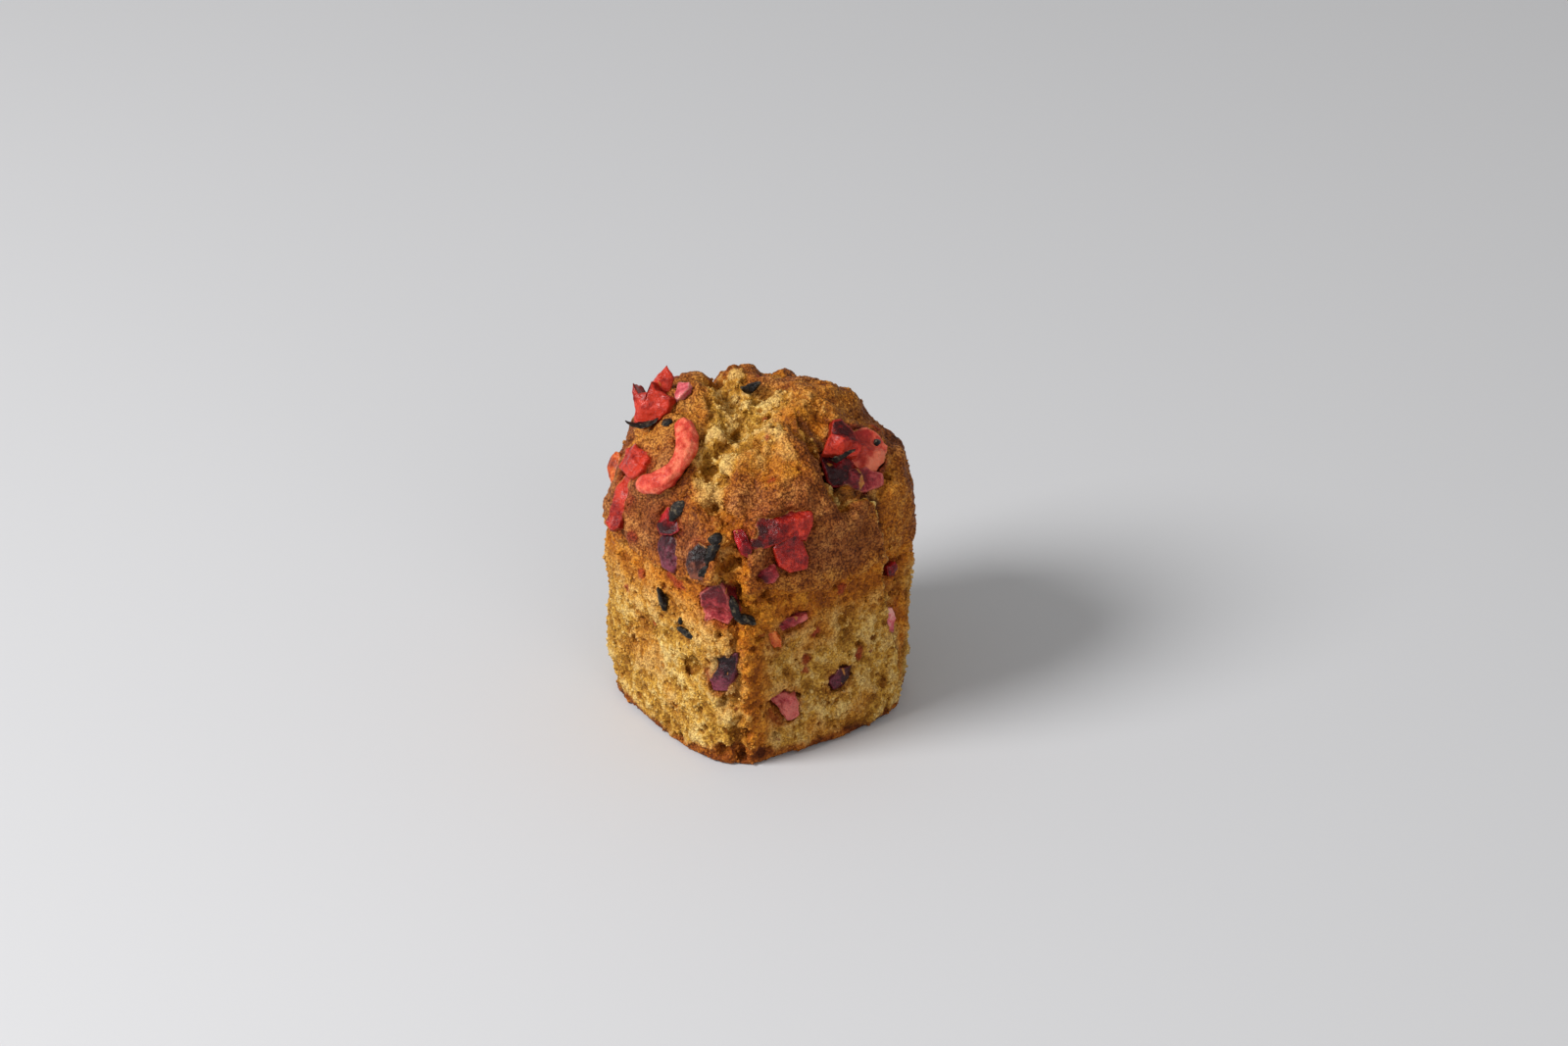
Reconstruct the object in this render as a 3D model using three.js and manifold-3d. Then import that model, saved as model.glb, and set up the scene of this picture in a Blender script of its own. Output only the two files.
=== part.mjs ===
// Fruit muffin baked in a folded square paper case, units mm.
// The origin is the centre of the flat underside, +Z is up, the four sides face along X and Y.
// The front corner, where the folded case left its deepest pleat, points to -X -Y.
import * as THREE from 'three';
import { mergeVertices } from 'three/addons/utils/BufferGeometryUtils.js';
import Module from 'manifold-3d';

// Sizes of the whole
const halfWidth = 30.4;        // middle of a side, above the foot
const baseHalf = 29.6;         // middle of a side, at the underside
const footRound = 1.8;         // rounding round the underside
const shoulderHeight = 49.2;   // where the wall turns into the dome, mean
const shoulderSwing = 4.6;     // how much higher it is on the risen side
const shoulderTurn = -40;      // degrees, direction of the risen side
const domeTop = 74.0;
const domeRound = 1.05;        // radius of the dome against the half width
const columns = 74;            // points round the muffin
const underRows = 2;
const wallRows = 13;
const domeRows = 18;
const fruitGap = 0.3;          // space left round each piece of fruit

const radians = THREE.MathUtils.degToRad;

function smooth(t) {
  const c = Math.min(1, Math.max(0, t));
  return c * c * (3 - 2 * c);
}

function bell(distance, width) {
  return Math.exp(-((distance / width) ** 2));
}

// Difference of two directions, from -PI to PI
function turnFrom(angle, degrees) {
  const d = angle - radians(degrees);
  return Math.atan2(Math.sin(d), Math.cos(d));
}

// A slow, repeatable unevenness: plane waves in seeded directions, about -1.5 to 1.5
function waveField(length, seed) {
  let state = seed;
  const draw = () => {
    state = (state * 1664525 + 1013904223) % 4294967296;
    return state / 4294967296;
  };
  const waves = [];
  const count = 9;
  for (let i = 0; i < count; i++) {
    const z = 2 * draw() - 1;
    const a = 2 * Math.PI * draw();
    const across = Math.sqrt(1 - z * z);
    const k = (2 * Math.PI / length) * (0.75 + 0.5 * i / count);
    waves.push([k * across * Math.cos(a), k * across * Math.sin(a), k * z, 2 * Math.PI * draw()]);
  }
  return (p) => {
    let sum = 0;
    for (const [x, y, z, phase] of waves) sum += Math.sin(x * p.x + y * p.y + z * p.z + phase);
    return sum / Math.sqrt(count / 2);
  };
}

// Plan outline: a square with rounded corners, sharpest at the pleated front corner
function planRadius(angle) {
  const front = bell(turnFrom(angle, -135), radians(20));
  const left = bell(turnFrom(angle, 135), radians(22));
  const right = bell(turnFrom(angle, -45), radians(22));
  const power = 4 + 2.6 * front - 0.7 * left - 0.2 * right;
  const c = Math.abs(Math.cos(angle)) ** power;
  const s = Math.abs(Math.sin(angle)) ** power;
  return 1 / (c + s) ** (1 / power);
}

function shoulderAt(angle) {
  return shoulderHeight + shoulderSwing * Math.cos(turnFrom(angle, shoulderTurn));
}

// Smooth form without cracks. level: 0 to 1 underside, 1 to 2 wall, 2 to 3 dome
function formPoint(angle, level) {
  const plan = planRadius(angle);
  const top = shoulderAt(angle);
  let radius = 0;
  let height = 0;
  if (level <= 1) {
    radius = level * plan * (baseHalf - footRound);
  } else if (level <= 2) {
    height = (level - 1) * top;
    const half = baseHalf + (halfWidth - baseHalf) * Math.min(1, height / 20);
    const fall = Math.max(0, footRound - height);
    radius = plan * half - footRound + Math.sqrt(footRound ** 2 - fall ** 2);
  } else {
    const rise = (level - 2) * Math.PI / 2;
    const blend = smooth((level - 2) / 0.6);
    const round = plan * halfWidth * (1 - blend) + halfWidth * domeRound * blend;
    radius = round * Math.cos(rise) ** 0.62;
    height = top + (domeTop - top) * Math.sin(rise) ** 0.92;
  }
  return new THREE.Vector3(radius * Math.cos(angle), radius * Math.sin(angle), height);
}

// Direction in which the relief stands: level on the walls, fanning out over the dome
function outward(p) {
  return new THREE.Vector3(p.x, p.y, p.z - Math.min(p.z, 38)).normalize();
}

// Swellings of the crust and dents: centre, spread, rise
const swellings = [
  { at: [-27, 1, 61], spread: 12, rise: 1.2 },      // left lobe
  { at: [-11, -23, 66], spread: 10.5, rise: 2.2 },  // middle lobe, split off by the long crack
  { at: [-1, -30, 50], spread: 14, rise: 2.0 },     // smooth lobe that hangs over the front
  { at: [13, -6, 73], spread: 12, rise: 2.2 },      // raised flap on the right
  { at: [-8, 16, 71], spread: 12, rise: 2.6 },      // back left lobe
  { at: [-5, -13.5, 73.4], spread: 4.6, rise: 2.4 }, // knob of torn crumb
  { at: [12.5, 15.5, 73], spread: 6.5, rise: 2.4 },      // ragged crest behind the pale crumb
  { at: [21, 22, 60], spread: 13, rise: 1.4 },      // back lobes
  { at: [18, 15, 70], spread: 10, rise: -2.4 },
  { at: [23, -9, 70], spread: 8.5, rise: -2.9 },
  { at: [19, -5, 73], spread: 7, rise: 1.6 },
  { at: [16, 9, 73], spread: 7, rise: -2.2 },
  { at: [-2, 29, 55], spread: 12, rise: 1.4 },
  { at: [29, -4, 58], spread: 12, rise: 1.0 },
  { at: [3, -30, 3], spread: 15, rise: 2.3 },       // full foot under both front sides
  { at: [-30, -8, 3], spread: 13, rise: 1.2 },
  { at: [-23, 26, 0], spread: 9, rise: -1.6 },      // drawn-in foot of the left corner
  { at: [24, -27, 2], spread: 8, rise: -1 },
  { at: [-25, 21, 47], spread: 9, rise: -1.4 },      // notch under the left slices
  { at: [5.5, -25.5, 67.5], spread: 5.2, rise: -5.4 }, // cavity that holds the dark fruit
  { at: [13, -24.5, 67], spread: 4.6, rise: -2.2 },
];

// Cracks: path, half width, depth, height of the torn lips
const cracks = [
  {
    path: [[-1.7, 8, 74.5], [-9.5, -7.9, 73.7], [-14, -9.6, 72.4], [-19.2, -10.4, 70],
      [-22.4, -13.6, 66.6], [-24, -17, 63.8]],
    width: 2.7, depth: 3.4, lip: 0.7,
  },
  {
    path: [[-7, -6, 74], [-1, -3, 75], [3, 3, 75]],
    width: 3.4, depth: 1.8, lip: 0.4,
  },
  {
    path: [[-1, -10.5, 74.4], [0.6, -14.6, 73.6], [1.4, -20.7, 71.5], [2.2, -26.5, 67.5],
      [1.1, -29.3, 62.6], [2.3, -29.9, 58.8]],
    width: 1.6, depth: 4, lip: 0.7,
  },
  {
    path: [[-24.3, -17.2, 63.6], [-24.1, -21.9, 61.9], [-25.2, -24.7, 59.2], [-27.7, -25.9, 54.6],
      [-27.6, -27.8, 49.7], [-26, -28.8, 43.6], [-22.6, -29.7, 39]],
    width: 1.9, depth: 2.4, lip: 0.4,
  },
  { path: [[-1.7, 8, 74.5], [0.5, 15, 74.3], [3, 21, 71], [6, 29, 60]], width: 2.3, depth: 3.4, lip: 0.5 },
  { path: [[4, 21, 71], [17, 15, 69], [28, 14, 60]], width: 1.9, depth: 1.5, lip: 0.4 },
  { path: [[-3, 5, 75], [-15, 10, 72], [-22, 17, 65], [-25, 23, 57]], width: 1.8, depth: 1.6, lip: 0.4 },
];

// Pits where the crumb tore off with the paper: centre, radius, depth
const pits = [
  [-28.6, -28, 16.5, 1.7, 1.6], [-17.3, -30.2, 5.8, 1.5, 1.3], [-30.6, -14, 22, 1.9, 1.1],
  [-30.6, -6, 36, 1.8, 0.9], [-20.5, -30.4, 33.5, 1.6, 1.2], [-30.6, 6, 27, 1.7, 0.9],
  [-8, -30.4, 24, 1.6, 0.8], [1, -30.4, 30, 1.8, 0.8], [-24, -29.6, 9, 1.5, 1.0],
  [30.6, 9, 31, 1.9, 1.1], [30.6, -12, 19, 1.7, 1.0], [-10, 30.6, 24, 2.0, 1.1],
  [12, 30.6, 36, 1.8, 1.0], [30.4, 18, 12, 1.7, 0.9], [22, 29.4, 14, 1.6, 0.9],
].map(([x, y, z, radius, depth]) => ({ at: [x, y, z], radius, depth }));

const coarse = waveField(15, 11);
const fine = waveField(7.5, 23);
const wallWaves = waveField(16, 37);

function distanceTo(p, path) {
  let nearest = Infinity;
  const line = new THREE.Line3();
  const foot = new THREE.Vector3();
  for (let i = 1; i < path.length; i++) {
    line.start.fromArray(path[i - 1]);
    line.end.fromArray(path[i]);
    line.closestPointToPoint(p, true, foot);
    nearest = Math.min(nearest, foot.distanceTo(p));
  }
  return nearest;
}

// Where the folded paper ended its second pleat: x of the lip on the front right side
function lipX(z) {
  return 15.9 - 0.035 * z - 7 * smooth((z - 44) / 22) ** 1.5;
}

// Height of the relief over the smooth form
function relief(p) {
  const angle = Math.atan2(p.y, p.x);
  const onDome = smooth((p.z - shoulderAt(angle) + 6) / 10);
  const centre = new THREE.Vector3();
  let height = 0;
  for (const { at, spread, rise } of swellings) {
    height += rise * Math.exp(-((centre.fromArray(at).distanceTo(p) / spread) ** 3));
  }
  for (const { path, width, depth, lip } of cracks) {
    const d = distanceTo(p, path);
    height += lip * bell(d - 2.1 * width, 0.9 * width) - depth * bell(d, width);
  }
  for (const { at, radius, depth } of pits) {
    height -= depth * bell(centre.fromArray(at).distanceTo(p), radius);
  }
  height += onDome * (0.6 * coarse(p) + 0.4 * fine(p));
  height += (1 - onDome) * 0.25 * wallWaves(p) * smooth(p.z / 3);

  // The crust ends in a ledge over the torn crumb of the wall
  const ledge = 43.5 + 2 * Math.sin(2 * angle + 0.6) + 1.2 * Math.sin(5 * angle + 1);
  const over = p.z - ledge;
  height += 0.8 * smooth((over + 1.2) / 2.4) * Math.exp(-Math.max(0, over) / 9);

  // Front pleat: a groove with a fuller ridge to its right
  const pleat = turnFrom(angle, -133.4) * 38.5;
  const pleatEnd = smooth((50 - p.z) / 8) * smooth((p.z + 2) / 5);
  const ridge = 0.9 * bell(pleat - 3.7, 2.4);
  const groove = 1.7 * bell(pleat, 1.3) + 0.5 * bell(pleat + 3.4, 2.4);
  height += pleatEnd * (ridge - groove);

  // Second pleat: a thin lip, with the side set back beyond it
  if (p.y < 0) {
    const past = p.x - lipX(p.z);
    const fade = smooth((66 - p.z) / 6) * smooth((-p.y - 18) / 8);
    const setBack = 1.3 * smooth((past + 0.5) / 1.6) * Math.exp(-Math.max(0, past) / 8);
    height += fade * (0.5 * bell(past + 1.6, 1.6) - setBack);
  }
  return height;
}

function crustPoint(p) {
  return p.clone().addScaledVector(outward(p), relief(p));
}

// Directions of the columns, closer together at the two pleats
function columnAngles() {
  const steps = 1440;
  const sums = [0];
  for (let i = 0; i < steps; i++) {
    const a = 2 * Math.PI * (i + 0.5) / steps;
    const front = 1.5 * bell(turnFrom(a, -132), radians(11));
    const side = 0.7 * bell(turnFrom(a, -64), radians(11));
    const back = 0.3 * bell(turnFrom(a, 45), radians(70));
    sums.push(sums[i] + 1 + front + side - back);
  }
  const angles = [];
  let i = 0;
  for (let c = 0; c < columns; c++) {
    const target = sums[steps] * c / columns;
    while (sums[i + 1] <= target) i++;
    angles.push(2 * Math.PI * (i + (target - sums[i]) / (sums[i + 1] - sums[i])) / steps);
  }
  return angles;
}

// The muffin body: a sphere's net of points laid over the form
function bodyGeometry() {
  const angles = columnAngles();
  const levels = [];
  for (let i = 0; i <= underRows; i++) levels.push(i / underRows);
  levels.push(1.012, 1.035);
  for (let i = 1; i <= wallRows; i++) levels.push(1.035 + 0.965 * i / wallRows);
  for (let i = 1; i <= domeRows; i++) levels.push(2 + i / domeRows);
  const last = levels.length - 1;

  const geometry = new THREE.SphereGeometry(1, columns, last);
  const points = geometry.attributes.position;
  for (let row = 0; row <= last; row++) {
    const level = levels[last - row];
    for (let c = 0; c <= columns; c++) {
      // the rows of a sphere run from its top, and its seam is one column twice
      const angle = angles[c % columns];
      let p = formPoint(level === 3 || level === 0 ? 0 : angle, level);
      if (level === 3) p.set(0, 0, domeTop);
      if (level > 1) p = crustPoint(p);
      if (level > 1) p.z = Math.max(p.z, 0.1);
      points.setXYZ(row * (columns + 1) + c, p.x, p.y, p.z);
    }
  }
  return geometry;
}

const wasm = await Module();
wasm.setup();

function toSolid(geometry) {
  const bare = geometry.clone();
  bare.deleteAttribute('normal');
  bare.deleteAttribute('uv');
  const merged = mergeVertices(bare, 1e-5);
  return new wasm.Manifold(new wasm.Mesh({
    numProp: 3,
    vertProperties: Float32Array.from(merged.attributes.position.array),
    triVerts: Uint32Array.from(merged.index.array),
  }));
}

// A cut can part off a loose crumb, which is dropped
function largestOf(solid) {
  return solid.decompose().reduce((a, b) => (a.volume() > b.volume() ? a : b));
}

function toGeometry(solid) {
  const mesh = solid.getMesh();
  const geometry = new THREE.BufferGeometry();
  geometry.setAttribute('position', new THREE.BufferAttribute(Float32Array.from(mesh.vertProperties), 3));
  geometry.setIndex(new THREE.BufferAttribute(Uint32Array.from(mesh.triVerts), 1));
  geometry.computeVertexNormals();
  return geometry;
}

// An irregular cut piece: a rounded box with lumpy faces
function chunkGeometry({ size, boxy = 3, seed, detail = 1 }, grow) {
  const geometry = new THREE.IcosahedronGeometry(1, detail);
  const lumps = waveField(2.2, seed);
  const points = geometry.attributes.position;
  const d = new THREE.Vector3();
  for (let i = 0; i < points.count; i++) {
    d.fromBufferAttribute(points, i);
    const sum = Math.abs(d.x) ** boxy + Math.abs(d.y) ** boxy + Math.abs(d.z) ** boxy;
    const reach = (1 + 0.1 * lumps(d)) / sum ** (1 / boxy);
    const [x, y, z] = d.toArray().map((v, axis) => v * reach * (size[axis] / 2 + grow));
    points.setXYZ(i, x, y, z);
  }
  return geometry;
}

// A bent strip of peel: a capsule laid along a curve, flat side to the crust
function stripGeometry({ path, size, seed, bends = 7 }, grow) {
  const [width, , thick] = size;
  const curve = new THREE.CatmullRomCurve3(path.map((p) => new THREE.Vector3(...p)));
  const length = curve.getLength();
  const radius = width / 2 + grow;
  const geometry = new THREE.CapsuleGeometry(radius, length - width, 2, 8, bends);
  const lumps = waveField(7, seed);
  const points = geometry.attributes.position;
  for (let i = 0; i < points.count; i++) {
    const along = points.getY(i) / length + 0.5;
    const on = Math.min(1, Math.max(0, along));
    const spine = curve.getPointAt(on);
    const tangent = curve.getTangentAt(on);
    const up = outward(spine);
    const side = new THREE.Vector3().crossVectors(tangent, up).normalize();
    up.crossVectors(side, tangent);
    const fullness = 1 + 0.07 * lumps(spine);
    spine.addScaledVector(tangent, (along - on) * length);
    spine.addScaledVector(side, points.getX(i) * fullness);
    spine.addScaledVector(up, points.getZ(i) * fullness * (thick / 2 + grow) / radius);
    points.setXYZ(i, spine.x, spine.y, spine.z);
  }
  return geometry;
}

// Turns a piece so that its z axis faces away from the crust and its y axis points up it
function seat(object, at, { proud = 0, thick, spin = 0, facing = null }) {
  const p = new THREE.Vector3(...at);
  const away = facing ? new THREE.Vector3(...facing).normalize() : outward(p);
  const right = new THREE.Vector3(0, 0, 1).cross(away).normalize();
  const up = new THREE.Vector3().crossVectors(away, right);
  object.quaternion.setFromRotationMatrix(new THREE.Matrix4().makeBasis(right, up, away));
  object.rotateZ(radians(spin));
  object.position.copy(p).addScaledVector(away, proud - thick / 2);
  object.updateMatrix();
}

const fruitColours = {
  red: '#b4302a', coral: '#cf5a48', orange: '#c4592c', darkRed: '#7d1420',
  magenta: '#9c3a48', plum: '#4a2430', brown: '#5b3026', pink: '#c8707a',
};

// Pieces of fruit: centre on the crust, size across, up and through, how far they stand proud
const pieces = [
  // over the left lobe
  { name: 'topLeftChunk', colour: 'red', at: [-18, 14, 73], size: [8.8, 9.8, 6.5], proud: 2.6,
    facing: [-0.75, -0.35, 0.55], spin: 12, seed: 5, detail: 2 },
  { name: 'topLeftFlake', colour: 'red', at: [-13.2, 15.8, 76.4], size: [4.6, 9, 3], proud: 1.5,
    facing: [-0.6, -0.75, 0.3], spin: 8, seed: 9 },
  { name: 'topLeftBit', colour: 'pink', at: [-11.6, 12.8, 75.8], size: [4, 5, 4], proud: 1.1, seed: 13 },
  { name: 'hookStrip', colour: 'coral', size: [4.7, 0, 4], seed: 17,
    path: [[-18.3, 3, 73.6], [-19.6, -0.9, 72.4], [-23, -4.8, 70.4], [-26.9, -6.4, 67.8],
      [-30.4, -3.9, 64.6], [-31.2, 0.6, 62.9]] },
  { name: 'leftSlice', colour: 'orange', at: [-24.4, 21.6, 56.2], size: [5, 9, 5], proud: 0.7, seed: 21 },
  { name: 'leftCluster', colour: 'red', at: [-27.4, 8.4, 64.2], size: [10.5, 6.4, 5], proud: 1.1, seed: 25 },
  { name: 'leftStrip', colour: 'red', size: [4.6, 0, 3.6], seed: 29, bends: 4,
    path: [[-30.6, 5, 59.6], [-31.4, 7.6, 55.6], [-31.4, 11, 51], [-30.2, 14.2, 47.4]] },
  { name: 'leftGem', colour: 'darkRed', at: [-29.7, -7.4, 57.2], size: [5.8, 6.8, 5], proud: 0.8, seed: 33 },
  { name: 'leftPlum', colour: 'plum', at: [-30.6, -9.6, 49.6], size: [7, 7.6, 5], proud: 0.8, seed: 37 },
  { name: 'leftBerry', colour: 'brown', at: [-30.2, -21.4, 52.6], size: [6.6, 7.4, 5.5], proud: 1.2,
    boxy: 2.4, seed: 41 },
  // in the cavity on the right
  { name: 'cavityRed', colour: 'red', at: [11.6, -20.9, 70.9], size: [6.4, 7.6, 5.5], proud: 0.9,
    spin: -25, seed: 45 },
  { name: 'cavityCoral', colour: 'coral', at: [18.3, -20.8, 66.8], size: [8.4, 6.8, 5], proud: 0.7,
    seed: 49 },
  { name: 'cavityPlum', colour: 'plum', at: [7.2, -24, 64.6], size: [6.6, 5.6, 4.6], proud: 0.6, seed: 53 },
  { name: 'cavityMagenta', colour: 'magenta', at: [12.6, -26.3, 61.8], size: [8.6, 5.2, 4.6], proud: 0.7,
    spin: 10, seed: 57 },
  // on the smooth lobe
  { name: 'frontBar', colour: 'red', at: [-13.4, -29.9, 60.9], size: [12.4, 5.6, 5.5], proud: 1.2,
    spin: 6, boxy: 4, seed: 61, detail: 2 },
  { name: 'frontSquare', colour: 'red', at: [-13.4, -30.8, 53], size: [7.4, 9, 5], proud: 1.9,
    spin: 10, boxy: 5, seed: 65, detail: 2 },
  { name: 'frontMagenta', colour: 'magenta', at: [-19.8, -30.1, 49], size: [5.2, 4.4, 4], proud: 0.5,
    seed: 69 },
  { name: 'frontShard', colour: 'darkRed', at: [-23.2, -27.5, 57.8], size: [5, 6.4, 4], proud: 0.9,
    spin: -15, boxy: 2.5, seed: 73 },
  // in the torn walls
  { name: 'cornerRed', colour: 'magenta', at: [-28.7, -24.2, 42.1], size: [8.4, 10, 5.5], proud: 0.8,
    facing: [-0.84, -0.5, 0], seed: 77, detail: 2 },
  { name: 'cornerPlum', colour: 'plum', at: [-28.9, -24.8, 24], size: [6.4, 10, 5], proud: 0.7,
    facing: [-0.9, -0.4, 0], seed: 81 },
  { name: 'lowMagenta', colour: 'magenta', at: [-15, -30.6, 12.4], size: [8.8, 7.4, 4.5], proud: 0.8,
    seed: 85 },
  { name: 'lowPlum', colour: 'plum', at: [0.8, -31.5, 15.4], size: [7.2, 6.6, 4.5], proud: 1,
    spin: 30, boxy: 2.4, seed: 89 },
  { name: 'wallOrange', colour: 'orange', at: [-16.6, -30, 31], size: [3.9, 5.4, 3.6], proud: 0.8, seed: 93 },
  { name: 'wallBand', colour: 'magenta', at: [-12.6, -31, 34], size: [7.8, 3.7, 3.6], proud: 0.8,
    spin: 16, seed: 97 },
  { name: 'edgePink', colour: 'pink', at: [18, -28.8, 23.8], size: [4, 7.6, 3.6], proud: 0.8, seed: 101 },
  { name: 'edgeRed', colour: 'darkRed', at: [18.8, -27.9, 36.9], size: [4, 4.8, 3.6], proud: 0.8, seed: 105 },
  // on the two sides away from the front corner
  { name: 'backRed', colour: 'red', at: [30.6, 5, 46], size: [8, 6.6, 5], proud: 0.9, spin: 20, seed: 109 },
  { name: 'backPlum', colour: 'plum', at: [30.3, 15, 24], size: [6.4, 8, 4.6], proud: 0.8, seed: 113 },
  { name: 'rearRed', colour: 'magenta', at: [8, 30.4, 42], size: [8.4, 6, 4.8], proud: 0.9,
    spin: -15, seed: 117 },
  { name: 'rearCoral', colour: 'coral', at: [-13, 30, 26], size: [6.6, 8.2, 4.6], proud: 0.8, seed: 121 },
  { name: 'crestRed', colour: 'red', at: [22, 8, 67.8], size: [9, 6.6, 5], proud: 1.2, seed: 125 },
  { name: 'crestCoral', colour: 'coral', at: [-4.4, 24.4, 70], size: [6.6, 6, 4.6], proud: 1.1, seed: 129 },
];

// Black flakes baked onto the crust: centre, size across, up and through, turn
const flakes = [
  [[3.4, 4.6, 74.6], [4, 2.8, 2], 15], [[-28.4, -12.2, 59.2], [3.2, 5.4, 2.4], 8],
  [[-19.2, 7.2, 71.8], [3.6, 3.2, 2.2], 0], [[-29.2, -24.6, 54.4], [2.2, 8, 2.6], -12],
  [[-30.4, -5.5, 36.5], [4.6, 6, 2], 30], [[-24.6, -28.4, 41.4], [3, 4, 2.2], 20],
  [[-21.8, -29.4, 37], [4, 2.8, 2], -20], [[-30.3, -16.5, 30.8], [4, 2.2, 1.8], 10],
  [[30.6, -14, 53], [3.4, 5, 2.2], -25], [[10, 26, 66], [4, 3, 2.2], 30],
];

const muffin = new THREE.Group();
muffin.name = 'muffin';
let solid = toSolid(bodyGeometry());

for (const [at, size, spin] of flakes) {
  const flake = new THREE.Mesh(new THREE.IcosahedronGeometry(1, 1));
  flake.scale.set(size[0] / 2, size[1] / 2, size[2] / 2);
  seat(flake, at, { proud: 0.6, thick: size[2], spin });
  solid = solid.add(toSolid(flake.geometry.clone().applyMatrix4(flake.matrix)));
}

const sockets = [];
for (const piece of pieces) {
  const shape = piece.path ? stripGeometry : chunkGeometry;
  const material = new THREE.MeshStandardMaterial({
    color: fruitColours[piece.colour], roughness: 0.35, metalness: 0,
  });
  const fruit = new THREE.Mesh(shape(piece, 0), material);
  fruit.name = piece.name;
  if (!piece.path) seat(fruit, piece.at, { ...piece, thick: piece.size[2] });
  muffin.add(fruit);

  // where two pieces would meet, the later one gives way
  let own = toSolid(fruit.geometry.clone().applyMatrix4(fruit.matrix));
  const crossed = sockets.filter((other) => own.intersect(other).volume() > 0);
  if (crossed.length > 0) {
    for (const other of crossed) own = own.subtract(other);
    fruit.geometry = toGeometry(largestOf(own)).applyMatrix4(fruit.matrix.clone().invert());
  }
  sockets.push(toSolid(shape(piece, fruitGap).applyMatrix4(fruit.matrix)));
}
for (const socket of sockets) solid = solid.subtract(socket);

const crumb = new THREE.MeshStandardMaterial({ color: '#c08a40', roughness: 0.9, metalness: 0 });
const body = new THREE.Mesh(toGeometry(largestOf(solid)), crumb);
body.name = 'body';
muffin.add(body);

export default muffin;
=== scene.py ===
import math

import bpy
import numpy as np
from mathutils import Matrix, Vector
from mathutils.bvhtree import BVHTree


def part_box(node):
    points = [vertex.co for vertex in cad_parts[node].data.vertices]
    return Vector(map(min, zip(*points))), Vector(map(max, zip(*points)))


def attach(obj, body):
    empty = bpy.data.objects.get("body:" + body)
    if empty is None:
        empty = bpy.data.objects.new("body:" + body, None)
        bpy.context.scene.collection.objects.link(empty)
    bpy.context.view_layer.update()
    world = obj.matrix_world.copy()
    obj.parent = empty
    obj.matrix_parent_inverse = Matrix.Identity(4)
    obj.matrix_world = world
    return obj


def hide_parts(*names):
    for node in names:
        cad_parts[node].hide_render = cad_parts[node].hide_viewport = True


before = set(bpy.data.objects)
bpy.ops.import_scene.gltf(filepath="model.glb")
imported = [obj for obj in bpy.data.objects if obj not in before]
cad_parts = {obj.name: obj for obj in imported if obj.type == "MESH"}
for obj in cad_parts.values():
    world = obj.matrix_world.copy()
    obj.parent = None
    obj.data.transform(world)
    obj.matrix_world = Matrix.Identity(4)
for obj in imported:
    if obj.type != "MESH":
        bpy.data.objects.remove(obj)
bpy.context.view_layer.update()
scene = bpy.context.scene
mm = 0.001
print("frame loaded")


# small helpers, used by every piece

def hexColour(code):
    # sRGB hex to linear RGBA
    parts = [int(code[i:i + 2], 16) / 255 for i in (1, 3, 5)]
    return [c / 12.92 if c <= 0.04045 else ((c + 0.055) / 1.055) ** 2.4 for c in parts] + [1.0]


def addNode(tree, kind, settings=None, inputs=None, stops=()):
    # one node, its settings, a ramp's stops, and its sockets: a plain value is set, a socket is linked
    node = tree.nodes.new(kind)
    for key, value in (settings or {}).items():
        setattr(node, key, value)
    for key, value in (inputs or {}).items():
        if isinstance(value, bpy.types.NodeSocket):
            tree.links.new(value, node.inputs[key])
        else:
            node.inputs[key].default_value = value
    while stops and len(node.color_ramp.elements) < len(stops):
        node.color_ramp.elements.new(0.5)
    for number, (at, colour) in enumerate(stops):
        node.color_ramp.elements[number].position = at
        node.color_ramp.elements[number].color = hexColour(colour)
    return node


def newMaterial(name):
    material = bpy.data.materials.new(name)
    material.use_nodes = True
    material.node_tree.nodes.clear()
    return material, material.node_tree


def selectOnly(piece):
    bpy.ops.object.select_all(action='DESELECT')
    piece.select_set(True)
    bpy.context.view_layer.objects.active = piece


def newBall(subdivisions):
    bpy.ops.object.select_all(action='DESELECT')
    bpy.ops.mesh.primitive_ico_sphere_add(subdivisions=subdivisions, radius=1)
    return bpy.context.object


def applyModifier(piece, name, kind, **settings):
    selectOnly(piece)
    modifier = piece.modifiers.new(name, kind)
    for key, value in settings.items():
        setattr(modifier, key, value)
    bpy.ops.object.modifier_apply(modifier=name)


def readAll(items, key, width=1, kind=np.float32):
    flat = np.empty(len(items) * width, kind)
    items.foreach_get(key, flat)
    return flat.reshape(-1, width) if width > 1 else flat


def getPoints(piece):
    return readAll(piece.data.vertices, "co", 3).astype(float)


def setPoints(piece, points):
    piece.data.vertices.foreach_set("co", points.astype(np.float32).ravel())
    piece.data.update()


def getMask(piece, name):
    return readAll(piece.data.attributes[name].data, "value")


def addMask(piece, name, values):
    mask = piece.data.attributes.new(name, 'FLOAT', 'POINT')
    mask.data.foreach_set("value", np.clip(values, 0, 1).astype(np.float32))


def smooth(t):
    t = np.clip(t, 0, 1)
    return t * t * (3 - 2 * t)


def most(*fields):
    return np.maximum.reduce(fields)


def farFrom(points, centre):
    return np.linalg.norm(points - np.array(centre), axis=1)


def bell(distance, width):
    return np.exp(-(distance / width) ** 2)


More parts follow.
